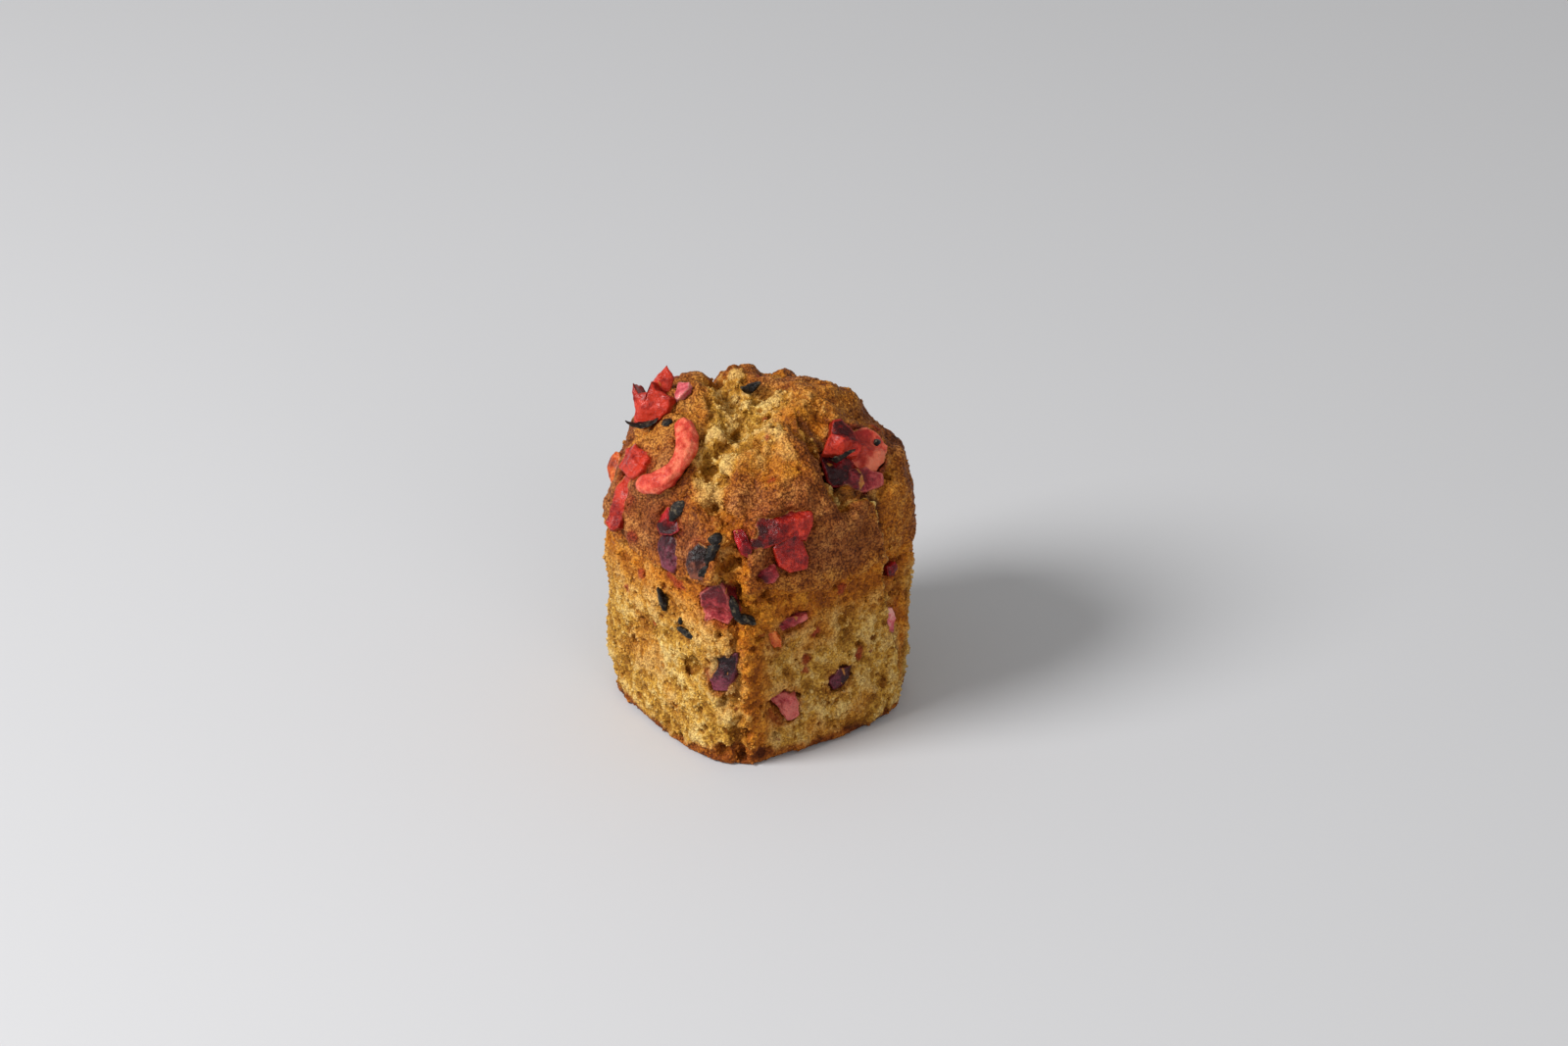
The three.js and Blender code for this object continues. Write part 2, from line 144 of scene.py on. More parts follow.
def lumps(points, size, seed):
    # smooth random field from -1 to 1 whose lumps are about that size, in mm
    turned = points @ np.array([[0.80, 0.36, 0.48], [-0.60, 0.48, 0.64], [0.0, -0.80, 0.60]]).T / size
    cell = np.floor(turned).astype(np.int64)
    part = turned - cell
    part = part * part * (3 - 2 * part)
    total = np.zeros(len(points))
    for corner in range(8):
        step = np.array([corner & 1, corner >> 1 & 1, corner >> 2 & 1])
        key = (cell + step) @ np.array([374761393, 668265263, 1442695041]) + seed * 1013904223
        key = (key ^ (key >> 13)) * 1274126177
        value = ((key ^ (key >> 16)) & 65535) / 32767.5 - 1
        total += value * np.where(step, part, 1 - part).prod(axis=1)
    return total


def holes(points, spacing, share, small, large, seed):
    # round pores in a jittered grid: 0 outside, 1 in the middle of a pore
    cell = np.floor(points / spacing).astype(np.int64)
    deepest = np.zeros(len(points))
    for dx in (-1, 0, 1):
        for dy in (-1, 0, 1):
            for dz in (-1, 0, 1):
                near = cell + np.array([dx, dy, dz])
                key = near @ np.array([374761393, 668265263, 1442695041]) + seed * 97531
                draws = []
                for turn in range(5):
                    key = (key ^ (key >> 13)) * 1274126177 + 12345
                    draws.append(((key ^ (key >> 16)) & 65535) / 65535)
                middle = (near + np.stack(draws[:3], axis=1)) * spacing
                radius = small + (large - small) * draws[3] ** 2
                gap = np.linalg.norm(points - middle, axis=1)
                depth = np.where(draws[4] < share, np.clip(1 - gap / radius, 0, 1), 0)
                deepest = np.maximum(deepest, depth)
    return deepest


# the muffin's form, the same sizes as the solid, in mm

form = {
    "halfWidth": 30.4,
    "baseHalf": 29.6,
    "footRound": 1.8,
    "shoulderHeight": 49.2,
    "shoulderSwing": 4.6,
    "shoulderTurn": -40,
    "domeTop": 74.0,
    "domeRound": 1.05,
    "domePower": 0.62,
    "pleatTurn": -133.4,     # degrees
    "pleatRadius": 38.5,
}

swellings = [  # centre, spread, rise
    ([-27, 1, 61], 12, 1.2), ([-11, -23, 66], 10.5, 2.2), ([-1, -30, 50], 14, 2), ([13, -6, 73], 12, 2.2),
    ([-8, 16, 71], 12, 2.6), ([-5, -13.5, 73.4], 4.6, 2.4), ([12.5, 15.5, 73], 6.5, 2.4),
    ([21, 22, 60], 13, 1.4), ([18, 15, 70], 10, -2.4), ([23, -9, 70], 8.5, -2.9), ([19, -5, 73], 7, 1.6),
    ([16, 9, 73], 7, -2.2), ([-2, 29, 55], 12, 1.4), ([29, -4, 58], 12, 1), ([3, -30, 3], 15, 2.3),
    ([-30, -8, 3], 13, 1.2), ([-23, 26, 0], 9, -1.6), ([24, -27, 2], 8, -1), ([-25, 21, 47], 9, -1.4),
    ([5.5, -25.5, 67.5], 5.2, -5.4), ([13, -24.5, 67], 4.6, -2.2),
]

cracks = [  # path, half width, depth, lip
    ([[-1.7, 8, 74.5], [-9.5, -7.9, 73.7], [-14, -9.6, 72.4], [-19.2, -10.4, 70], [-22.4, -13.6, 66.6],
      [-24, -17, 63.8]], 2.7, 3.4, 0.7),
    ([[-7, -6, 74], [-1, -3, 75], [3, 3, 75]], 3.4, 1.8, 0.4),
    ([[-1, -10.5, 74.4], [0.6, -14.6, 73.6], [1.4, -20.7, 71.5], [2.2, -26.5, 67.5], [1.1, -29.3, 62.6],
      [2.3, -29.9, 58.8]], 1.6, 4, 0.7),
    ([[-24.3, -17.2, 63.6], [-24.1, -21.9, 61.9], [-25.2, -24.7, 59.2], [-27.7, -25.9, 54.6],
      [-27.6, -27.8, 49.7], [-26, -28.8, 43.6], [-22.6, -29.7, 39]], 1.9, 2.4, 0.4),
    ([[-1.7, 8, 74.5], [0.5, 15, 74.3], [3, 21, 71], [6, 29, 60]], 2.3, 3.4, 0.5),
    ([[4, 21, 71], [17, 15, 69], [28, 14, 60]], 1.9, 1.5, 0.4),
    ([[-3, 5, 75], [-15, 10, 72], [-22, 17, 65], [-25, 23, 57]], 1.8, 1.6, 0.4),
]


def turnFrom(angle, degrees):
    d = angle - math.radians(degrees)
    return np.arctan2(np.sin(d), np.cos(d))


def pleatGap(angle):
    # mm to the right of the front pleat
    return turnFrom(angle, form["pleatTurn"]) * form["pleatRadius"]


def waveField(points, length, seed):
    # the solid's own slow unevenness, from the same seed
    state = seed
    total = np.zeros(len(points))
    count = 9
    for i in range(count):
        draws = []
        for turn in range(3):
            state = (state * 1664525 + 1013904223) % 4294967296
            draws.append(state / 4294967296)
        z = 2 * draws[0] - 1
        a = 2 * math.pi * draws[1]
        across = math.sqrt(1 - z * z)
        k = (2 * math.pi / length) * (0.75 + 0.5 * i / count)
        direction = np.array([across * math.cos(a), across * math.sin(a), z])
        total += np.sin(k * points @ direction + 2 * math.pi * draws[2])
    return total / math.sqrt(count / 2)


def shoulderAt(angle):
    return form["shoulderHeight"] + form["shoulderSwing"] * np.cos(turnFrom(angle, form["shoulderTurn"]))


def formPoints(angle, level):
    front = bell(turnFrom(angle, -135), math.radians(20))
    left = bell(turnFrom(angle, 135), math.radians(22))
    right = bell(turnFrom(angle, -45), math.radians(22))
    power = 4 + 2.6 * front - 0.7 * left - 0.2 * right
    plan = 1 / (np.abs(np.cos(angle)) ** power + np.abs(np.sin(angle)) ** power) ** (1 / power)
    top = shoulderAt(angle)
    wallHeight = np.clip(level - 1, 0, 1) * top
    half = form["baseHalf"] + (form["halfWidth"] - form["baseHalf"]) * np.clip(wallHeight / 20, 0, 1)
    fall = np.clip(form["footRound"] - wallHeight, 0, None)
    wall = plan * half - form["footRound"] + np.sqrt(form["footRound"] ** 2 - fall ** 2)
    rise = np.clip(level - 2, 0, 1) * math.pi / 2
    blend = smooth((level - 2) / 0.6)
    around = plan * form["halfWidth"] * (1 - blend) + form["halfWidth"] * form["domeRound"] * blend
    dome = around * np.clip(np.cos(rise), 0, 1) ** form["domePower"]
    domeHeight = top + (form["domeTop"] - top) * np.sin(rise) ** 0.92
    base = np.clip(level, 0, 1) * (plan * form["baseHalf"] - form["footRound"])
    radius = np.where(level <= 1, base, np.where(level <= 2, wall, dome))
    height = np.where(level <= 1, 0, np.where(level <= 2, wallHeight, domeHeight))
    return np.stack([radius * np.cos(angle), radius * np.sin(angle), height], axis=1)


def outward(points):
    away = points.copy()
    away[:, 2] -= np.minimum(points[:, 2], 38)
    return away / np.maximum(np.linalg.norm(away, axis=1), 1e-6)[:, None]


def distanceTo(points, path):
    path = np.array(path, float)
    nearest = np.full(len(points), 1e9)
    for a, b in zip(path[:-1], path[1:]):
        along = np.clip((points - a) @ (b - a) / ((b - a) @ (b - a)), 0, 1)
        nearest = np.minimum(nearest, np.linalg.norm(points - a - along[:, None] * (b - a), axis=1))
    return nearest


# the long torn edge of the front crust plate: place, how far the side beyond it lies back
tearEdge = [
    ([3, -7.4, 75.1], 0.2), ([2.9, -13.8, 74], 1.4), ([2.9, -17.3, 72], 2.2), ([3.4, -20.5, 69.5], 2.4),
    ([3, -23.5, 65.5], 2.2), ([2, -26.9, 61.3], 1.6), ([2.6, -29.3, 59], 1.3), ([4.4, -30.3, 60.4], 1.4),
    ([8.5, -30.8, 60.2], 1.9), ([11, -30.4, 56.4], 2.9), ([11.9, -31.5, 51], 3.3), ([12.7, -31.5, 43], 3.3),
    ([13.2, -31.1, 38.1], 3.1), ([14.2, -30.4, 30.5], 2.7), ([16.2, -29.6, 21.6], 2.5),
    ([18.2, -29, 13.9], 2.3), ([20, -28.6, 0], 1.8),
]


def besideTear(points, shifted):
    # distance along the skin from the torn edge, above 0 beyond it, and how far that side lies back
    away = outward(points)
    nearest = np.full(len(points), 1e9)
    side, back, weight = np.zeros((3, len(points)))
    for (a, backA), (b, backB) in zip(tearEdge[:-1], tearEdge[1:]):
        a, b = np.array(a, float), np.array(b, float)
        along = np.clip((shifted - a) @ (b - a) / ((b - a) @ (b - a)), 0, 1)
        gap = shifted - a - along[:, None] * (b - a)
        gap -= (gap * away).sum(axis=1)[:, None] * away
        far = np.linalg.norm(gap, axis=1)
        nearest = np.minimum(nearest, far)
        share = 1 / (far ** 3 + 0.02)
        side += share * (gap * np.cross(away, b - a)).sum(axis=1) / np.linalg.norm(b - a)
        back += share * (backA + along * (backB - backA))
        weight += share
    return nearest * np.sign(side), back / weight


def ledgeAt(angle):
    return 43.5 + 2 * np.sin(2 * angle + 0.6) + 1.2 * np.sin(5 * angle + 1)


# pits where the crumb tore off with the paper: centre, radius, depth
pits = [
    ([-27.8, -26, 16.1], 2.2, 2), ([-17.3, -30.2, 5.8], 1.5, 1.3), ([-30.4, -16.6, 22.9], 2.5, 1.9),
    ([-28, -24.8, 4], 1.8, 1.6), ([-30.7, -10.7, 15.4], 1.5, 1.2), ([-4, -30.6, 11], 1.5, 1.2),
    ([-30.6, -6, 36], 1.8, 0.9), ([-20.5, -30.4, 33.5], 1.6, 1.2), ([-30.6, 6, 27], 1.7, 0.9),
    ([-8, -30.4, 24], 1.6, 0.8), ([1, -30.4, 30], 1.8, 0.8), ([-24, -29.6, 9], 1.5, 1),
    ([30.6, 9, 31], 1.9, 1.1), ([30.6, -12, 19], 1.7, 1), ([-10, 30.6, 24], 2, 1.1),
    ([12, 30.6, 36], 1.8, 1), ([30.4, 18, 12], 1.7, 0.9), ([22, 29.4, 14], 1.6, 0.9),
]


# deeper hollows with a steep rim: centre, radius, depth
hollows = [
    ([7.4, -24.6, 66.2], 4.6, 5.6), ([12.5, -26, 63.5], 4.8, 2.6), ([12, -21.6, 69.4], 5, 1.4),
    ([-26.2, -26.2, 54.5], 4.4, 2.4), ([-26.5, -27, 46], 3.4, 1.6), ([-19.8, -12.6, 67.5], 4.2, 1.8),
    ([-24, -16.6, 62.4], 2.6, 1.8), ([-6, -9, 74.5], 2, 1.8), ([-16, -9.2, 71.5], 2.4, 1.3),
]


def warp(points, size, reach, seed):
    return reach * np.stack([lumps(points, size, seed + axis) for axis in range(3)], axis=1)


def bodyRelief(points):
    # the solid's relief, with the cracks and the ledge torn more raggedly
    angle = np.arctan2(points[:, 1], points[:, 0])
    z = points[:, 2]
    onDome = smooth((z - shoulderAt(angle) + 6) / 10)
    ragged = warp(points, 3.4, 1.0, 40) + warp(points, 1.5, 0.45, 50)
    torn = points + ragged
    height = np.zeros(len(points))
    for centre, spread, rise in swellings:
        middle = points if spread > 8 else points + 0.5 * ragged
        height += rise * np.exp(-(farFrom(middle, centre) / spread) ** 3)
    cleft = np.zeros(len(points))
    for path, width, depth, lip in cracks:
        d = distanceTo(torn, path)
        steep = 1 - smooth((d - 0.25 * width) / (1.3 * width))
        broad = bell(d, 1.9 * width)
        height += lip * bell(d - 2.3 * width, 0.8 * width) - depth * (0.45 * steep + 0.55 * broad)
        cleft = np.maximum(cleft, steep * min(1, depth / 3.4))
    for centre, radius, depth in hollows:
        d = farFrom(torn, centre)
        steep = 1 - smooth((d - 0.62 * radius) / (0.38 * radius))
        height -= depth * steep
        cleft = np.maximum(cleft, steep * min(1, depth / 3))
    for centre, radius, depth in pits:
        d = farFrom(torn, centre)
        steep = 1 - smooth((d - 0.5 * radius) / (0.8 * radius))
        height -= 1.3 * depth * steep
        cleft = np.maximum(cleft, 0.8 * steep)
    height += onDome * (0.6 * waveField(points, 15, 11) + 0.4 * waveField(points, 7.5, 23))
    height += (1 - onDome) * 0.25 * waveField(points, 16, 37) * smooth(z / 3)

    # the crust ends in a ledge over the torn crumb of the wall
    over = torn[:, 2] - ledgeAt(angle)
    height += 0.9 * smooth((over + 0.6) / 1.2) * np.exp(-np.clip(over, 0, None) / 9)

    # front pleat: a groove with a fuller ridge to its right
    pleat = pleatGap(np.arctan2(torn[:, 1], torn[:, 0]))
    pleatEnd = smooth((50 - z) / 8) * smooth((z + 2) / 5)
    groove = 1.9 * bell(pleat, 1.1) + 0.5 * bell(pleat + 3.4, 2.4)
    height += pleatEnd * (1.2 * bell(pleat - 4.0, 2.8) - groove)
    cleft = np.maximum(cleft, 0.8 * pleatEnd * bell(pleat, 1.1))

    # torn edge of the plate: a thin lip, with the side set back beyond it
    past, back = besideTear(points, points + 0.4 * ragged)
    front = (points[:, 1] < 0) * smooth((8 - np.abs(points[:, 0] - 8)) / 3 + 3.0)
    setBack = back * smooth((past + 0.1) / 0.6) * np.exp(-np.clip(past, 0, None) / 10)
    height += front * (0.3 * back * bell(past + 0.8, 1.0) - setBack)
    fade = front * smooth(back - 0.6)
    cleft = np.maximum(cleft, 0.5 * fade * bell(past - 0.5, 0.5))
    return height, cleft, over, past, back, fade


# camera: the muffin from its pleated corner, looking down about 29 degrees
camera = {
    "place": (-577.6, -800.2, 585.4),
    "lookAt": (34.8, 36.5, 15.3),
    "roll": 0.59,
    "lens": 112.5,
}


def addCamera():
    bpy.ops.object.camera_add(location=Vector(camera["place"]) * mm)
    eye = bpy.context.object
    back = (Vector(camera["place"]) - Vector(camera["lookAt"])).normalized()
    right = Vector((0, 0, 1)).cross(back).normalized()
    up = back.cross(right)
    turn = math.radians(camera["roll"])
    side = right * math.cos(turn) - up * math.sin(turn)
    top = right * math.sin(turn) + up * math.cos(turn)
    eye.matrix_world = Matrix((
        (side.x, top.x, back.x, camera["place"][0] * mm),
        (side.y, top.y, back.y, camera["place"][1] * mm),
        (side.z, top.z, back.z, camera["place"][2] * mm),
        (0, 0, 0, 1),
    ))
    eye.data.lens = camera["lens"]
    eye.data.sensor_width = 36
    eye.data.clip_end = 20
    scene.camera = eye


addCamera()
print("camera placed")


studio = {
    "floorColour": "#C6C6C8",
    "wallColour": "#D9D9D8",
    "worldStrength": 0.56,
    "mainLight": 25.8,       # watts
    "mainPlace": (-1120, 230, 960),
    "mainSize": 0.68,
    "fillLight": 4.5,
    "fillPlace": (-320, -1360, 720),
    "fillSize": 0.96,
}


def paleFinish(name, colour):
    # painted studio board: plain and matt, with a very slight unevenness
    material, tree = newMaterial(name)
    place = addNode(tree, 'ShaderNodeTexCoord')
    noise = addNode(tree, 'ShaderNodeTexNoise', inputs={
        "Vector": place.outputs["Object"], "Scale": 3.0, "Detail": 2.0})
    tone = addNode(tree, 'ShaderNodeMix', {"data_type": 'RGBA'}, {
        0: noise.outputs["Fac"], 6: hexColour(colour), 7: [c * 0.97 for c in hexColour(colour)[:3]] + [1]})
    shader = addNode(tree, 'ShaderNodeBsdfPrincipled', inputs={
        "Base Color": tone.outputs[2], "Roughness": 0.7})
    addNode(tree, 'ShaderNodeOutputMaterial', inputs={"Surface": shader.outputs["BSDF"]})
    return material


def addStudio():
    # one big flat plane
    bpy.ops.mesh.primitive_plane_add(size=6, location=(0, 0, 0))
    floor = bpy.context.object
    floor.name = "studioFloor"
    floor.data.materials.append(paleFinish("studioFloorPaint", studio["floorColour"]))
    world = bpy.data.worlds.new("studioWorld")
    scene.world = world
    world.use_nodes = True
    background = world.node_tree.nodes["Background"]
    background.inputs["Color"].default_value = hexColour(studio["wallColour"])
    background.inputs["Strength"].default_value = studio["worldStrength"]
    for name, watts, place, size in (
        ("mainSoftbox", studio["mainLight"], studio["mainPlace"], studio["mainSize"]),
        ("fillSoftbox", studio["fillLight"], studio["fillPlace"], studio["fillSize"]),
    ):
        bpy.ops.object.light_add(type='AREA', location=Vector(place) * mm)
        lamp = bpy.context.object
        lamp.name = name
        lamp.data.shape = 'DISK'
        lamp.data.size = size
        lamp.data.energy = watts
        aim = Vector((0, 0, 30)) * mm - lamp.location
        lamp.rotation_euler = aim.to_track_quat('-Z', 'Y').to_euler()
    scene.view_settings.view_transform = 'Standard'
    scene.view_settings.look = 'None'


addStudio()
print("studio ready")


fruit = {   # node: kind, slot, wrinkle height in mm
    "topLeftChunk": ("red", "red_fruit", 0.30),
    "topLeftFlake": ("red", "red_fruit", 0.30),
    "topLeftBit": ("pink", "pink_fruit", 0.25),
    "hookStrip": ("coral", "coral_fruit", 0.20),
    "leftSlice": ("orange", "orange_fruit", 0.20),
    "leftCluster": ("red", "red_fruit", 0.40),
    "leftStrip": ("red", "red_fruit", 0.25),
    "leftGem": ("darkRed", "dark_red_fruit", 0.20),
    "leftPlum": ("plum", "dark_berry", 0.25),
    "leftBerry": ("brown", "brown_berry", 0.25),
    "cavityRed": ("red", "red_fruit", 0.20),
    "cavityCoral": ("coral", "coral_fruit", 0.35),
    "cavityPlum": ("darkRed", "dark_berry", 0.30),
    "cavityMagenta": ("magenta", "magenta_fruit", 0.35),
    "frontBar": ("red", "red_fruit", 0.30),
    "frontSquare": ("red", "red_fruit", 0.12),
    "frontMagenta": ("magenta", "magenta_fruit", 0.35),
    "frontShard": ("darkRed", "dark_red_fruit", 0.20),
    "cornerRed": ("magenta", "magenta_fruit", 0.40),
    "cornerPlum": ("plum", "dark_berry", 0.35),
    "lowMagenta": ("magenta", "magenta_fruit", 0.45),
    "lowPlum": ("plum", "dark_berry", 0.30),
    "wallOrange": ("orange", "orange_fruit", 0.25),
    "wallBand": ("magenta", "magenta_fruit", 0.35),
    "edgePink": ("pink", "pink_fruit", 0.30),
    "edgeRed": ("darkRed", "dark_red_fruit", 0.30),
    "backRed": ("red", "red_fruit", 0.30),
    "backPlum": ("plum", "dark_berry", 0.30),
    "rearRed": ("magenta", "magenta_fruit", 0.35),
    "rearCoral": ("coral", "coral_fruit", 0.30),
    "crestRed": ("red", "red_fruit", 0.30),
    "crestCoral": ("coral", "coral_fruit", 0.30),
}


# fruit that shows is a cut piece: centre, thickness, how far it stands proud, the way it faces,
# its tone (way it brightens in degrees, darkest, brightest), how faceted, corners in mm across and up
cutFruit = {
    "topLeftChunk": ([-18, 14, 73], 5.5, 2.6, [-0.75, -0.35, 0.55], (-70, 0.65, 1.15), 0.4,
        [(-5.5, 4), (-4.6, 2), (-1, 2.5), (-1, 5.5), (0.5, 3.4), (4.5, 3), (4, -1), (2.5, -3), (0.5, -4.5),
         (-1.5, -5.5), (-3, -5), (-3.5, -1.5), (-4.5, 0.5)]),
    "topLeftFlake": ([-13.2, 15.8, 76.4], 2.6, 1.5, [-0.6, -0.75, 0.3], (90, 0.6, 1), 0.3,
        [(-3.2, 0), (-1.6, 2.4), (0.5, 4.8), (1.1, 2.8), (1.8, 1.2), (0.8, -2), (-0.5, -4.5), (-2.2, -3)]),
    "topLeftBit": ([-11.6, 12.8, 75.8], 3.4, 1, [-0.47, -0.21, 0.86], (0, 0.3, 0.7), 0.3,
        [(-0.5, 1.5), (2, 2), (2.5, 0.5), (2, -1.5), (1, -3.5), (-0.5, -1.5)]),
    "leftSlice": ([-24.4, 21.6, 56.2], 4, 0.8, [-0.77, -0.04, 0.63], (0, 0.25, 0.75), 0.3,
        [(-2, 1.5), (-1, 3.4), (0.5, 3.4), (2.5, 1.5), (4.5, -2.5), (3, -4), (0, -2.5), (-2, -0.5)]),
    "leftCluster": ([-27.4, 8.4, 64.2], 5.6, 2.5, None, (-30, 0.6, 1.1), 0.6,
        [(-5, 0.5), (-3.5, 3), (-0.5, 3.2), (2.5, 4.2), (5.5, 3.5), (5.5, 2), (6.5, 0.5), (5, -2.5),
         (1.5, -3.7), (-3, -3.5)]),
    "leftStrip": ([-31, 9.6, 53.3], 4.6, 1.8, [-0.82, -0.23, 0.53], (60, 0.6, 1.05), 0.4,
        [(-1.2, 9), (2.8, 9), (3.2, 4.5), (2.4, 1.5), (2.2, -1.5), (1.8, -4.5), (0, -5.8), (-2, -4.2),
         (-1.8, 0.5), (-2.2, 3.5)]),
    "leftGem": ([-29.7, -7.4, 57.2], 5, 0.9, None, (50, 0.1, 0.75), 0.9,
        [(-2.8, 0.5), (-1.6, 2.8), (0.5, 3.2), (2, 1), (3.8, -1.5), (2, -3.5), (-1, -4), (-2.5, -2.5)]),
    "leftPlum": ([-30.6, -9.6, 49.6], 4.5, 1.1, None, (-60, 0.25, 0.75), 0.3,
        [(-4.2, 3), (-0.5, 4.6), (2, 2.5), (3.6, -1.6), (2.2, -4.2), (-1.2, -3.6), (-3.6, 0)]),
    "leftBerry": ([-30.2, -21.4, 52.6], 5, 1.7, None, (-60, 0.1, 0.8), 0.3,
        [(-3.4, 2), (-1.4, 4.2), (1.2, 4.2), (2.8, 1.4), (2.2, -2), (0.6, -4.6), (-2.2, -4.4), (-3.8, -1)]),
    "cavityRed": ([11.6, -20.9, 70.9], 4.6, 1.3, [-0.11, -0.68, 0.73], (-140, 0.25, 0.8), 0.9,
        [(-2.6, 4.6), (-0.8, 4.4), (0.6, 1.4), (2, -3.2), (0, -5.2), (-2.4, -4.6), (-8, -2.8), (-6, -0.8),
         (-4.2, 1.4)]),
    "cavityCoral": ([18.3, -20.8, 66.8], 4.4, 0.9, [0, -0.71, 0.71], (-60, 0.1, 0.9), 0.7,
        [(-3.4, 4.6), (0.4, 4), (2.6, 1.2), (3.6, -2), (1.2, -4.8), (-2.4, -6.4), (-6.2, -5.4), (-7.6, -2.8),
         (-5.4, 1)]),
    "cavityPlum": ([7.2, -24, 64.6], 4.6, 0.7, [-0.15, -0.74, 0.66], (20, -0.1, 0.35), 0.5,
        [(-4.4, 5), (-1.5, 4.2), (1.5, 3.2), (4, 1), (2.6, -1.7), (-1, -3.7), (-3.4, -3.5), (-4.6, -1.5)]),
    "cavityMagenta": ([12.6, -26.3, 61.8], 4.6, 1, [-0.08, -0.78, 0.62], (0, 0, 0.6), 0.6,
        [(-5.6, 2.8), (-2.6, 3.6), (0.6, 3), (4.2, 0.2), (3.4, -2), (-1.2, -3.2), (-4.8, -2.2), (-7.8, 0.6)]),
    "frontBar": ([-13.4, -29.9, 60.9], 5, 1.1, None, (15, 0.2, 0.68), 0.5,
        [(-7, -1.5), (-6.5, 1.7), (-2.5, 1.7), (3.5, 2.7), (6.2, 1.4), (6.2, -2), (4.2, -5), (0, -3.7),
         (-3.5, -5), (-7, -5.7), (-9, -5)]),
    "frontSquare": ([-13.4, -30.8, 53], 5.4, 3.1, None, (-60, 0.3, 0.6), 0.12,
        [(-3.8, 2), (-3.4, 3.2), (-0.5, 5.2), (2.2, 6.4), (2.8, 3.5), (4.2, -1), (3.8, -3.2), (-0.5, -4.2),
         (-2.8, -2.7)]),
    "frontMagenta": ([-19.8, -30.1, 49], 3.6, 0.6, None, (0, 0, 0.45), 0.5,
        [(-2, 0.5), (-1, 1.9), (1, 2.7), (3, 2.2), (3.7, 0), (2.5, -1.2), (0.5, -1.5), (-1.5, -1)]),
    "frontShard": ([-23.2, -27.5, 57.8], 4, 0.9, None, (200, 0.35, 0.95), 0.8,
        [(-2.7, 2.2), (-0.5, 2.7), (0.9, 1), (1.9, -1.5), (1.4, -3.7), (-0.7, -2.8), (-2.2, 0)]),
    "cornerRed": ([-28.7, -24.2, 42.1], 5, 0.5, [-0.84, -0.5, 0], (-100, 0.05, 0.7), 0.5,
        [(-4, 2.5), (-1.5, 5), (1.5, 6.5), (2.5, 5), (3.5, 3), (3.5, 0.5), (5, -2), (2.5, -5), (-1, -4.4),
         (-3, -6), (-3.5, -3), (-4, 0)]),
    "cornerPlum": ([-28.9, -24.8, 24], 4.6, 0.3, [-0.9, -0.4, 0], (-90, 0.1, 0.8), 0.5,
        [(-1, 4.5), (4.5, 6.5), (4.5, 4), (3, -0.5), (2.5, -3.5), (-2, -4.5), (-2.8, -2), (-1.2, 1.6)]),
    "lowMagenta": ([-15, -30.6, 12.4], 4.2, 0.3, None, (-60, 0.6, 1.2), 0.6,
        [(-3.4, 4), (0, 5), (2.7, 3.7), (3.7, 1), (3.7, -2), (2, -3.2), (0.3, -1.8), (-1.8, 1.4)]),
    "lowPlum": ([0.8, -31.5, 15.4], 4.2, 0.5, None, (200, 0.15, 0.6), 0.5,
        [(-3.2, 0.6), (-0.5, 3.2), (3.7, 2.4), (2.4, -0.5), (0.7, -2.6), (-1.7, -2.2)]),
    "wallOrange": ([-16.6, -30, 31], 3.2, 0.6, None, (90, 0.4, 0.8), 0.4,
        [(-1.6, 2.6), (0.2, 2.8), (1.4, 0.5), (1.2, -1.7), (-0.5, -1.6), (-1.4, 0.4)]),
    "wallBand": ([-12.6, -31, 34], 3.2, 0.5, None, (20, 0.3, 0.7), 0.5,
        [(-3.6, 0.6), (-1.4, 2.5), (3.5, 2.7), (3.7, 1.5), (1.5, 0.3), (-2, -1.3)]),
    "edgePink": ([18, -28.8, 23.8], 3.4, 0.5, [0.04, -0.96, 0.28], (90, 0.4, 0.8), 0.4,
        [(-1.7, 3.5), (0.2, 3.2), (0.9, 0.5), (-0.6, -2.4), (-2.2, -1.7), (-2.2, 1)]),
    "edgeRed": ([18.8, -27.9, 36.9], 3.4, 0.5, [0.06, -0.96, 0.28], (90, 0.2, 0.6), 0.4,
        [(-2.2, 1.5), (0.5, 1.5), (1.2, -0.5), (-0.5, -1.9), (-2.2, -0.9)]),
}


def outlineReach(turn, corners):
    # how far an outline lies from its middle, each way round
    x, y = np.cos(turn), np.sin(turn)
    reach = np.full(len(turn), 0.3)
    for (ax, ay), (bx, by) in zip(corners, np.roll(corners, -1, axis=0)):
        ex, ey = bx - ax, by - ay
        slant = x * ey - y * ex
        slant = np.where(np.abs(slant) < 1e-9, 1e-9, slant)
        far = (ax * ey - ay * ex) / slant
        along = (ax * y - ay * x) / slant
        reach = np.where((along > -0.001) & (along < 1.001) & (far > reach), far, reach)
    return reach


def facingOf(at, facing):
    # right, up and away of a piece seen from outside
    away = Vector(facing) if facing else Vector((at[0], at[1], at[2] - min(at[2], 38)))
    away.normalize()
    right = Vector((0, 0, 1)).cross(away).normalized()
    return np.array(right), np.array(away.cross(right)), np.array(away)


# the crumb body
crumb = {
    "firstCuts": 15,
    "secondCuts": 14,         # 240 quads along each edge before it is thinned
    "sideHeight": 66.5,       # mm of skin that the cube's sides take up, wall first
    "wallHeight": 49,
    "domeFoot": 0.45,         # share of the dome that belongs to the sides
    "topSpread": 0.8438,
    "triangles": 188000,
    "clumps": 0.60,           # mm, how far the clumps of torn crumb stand out
    "grains": 0.28,
    "smallPores": 0.95,
    "largePores": 1.9,
    "crustPebble": 0.22,
}

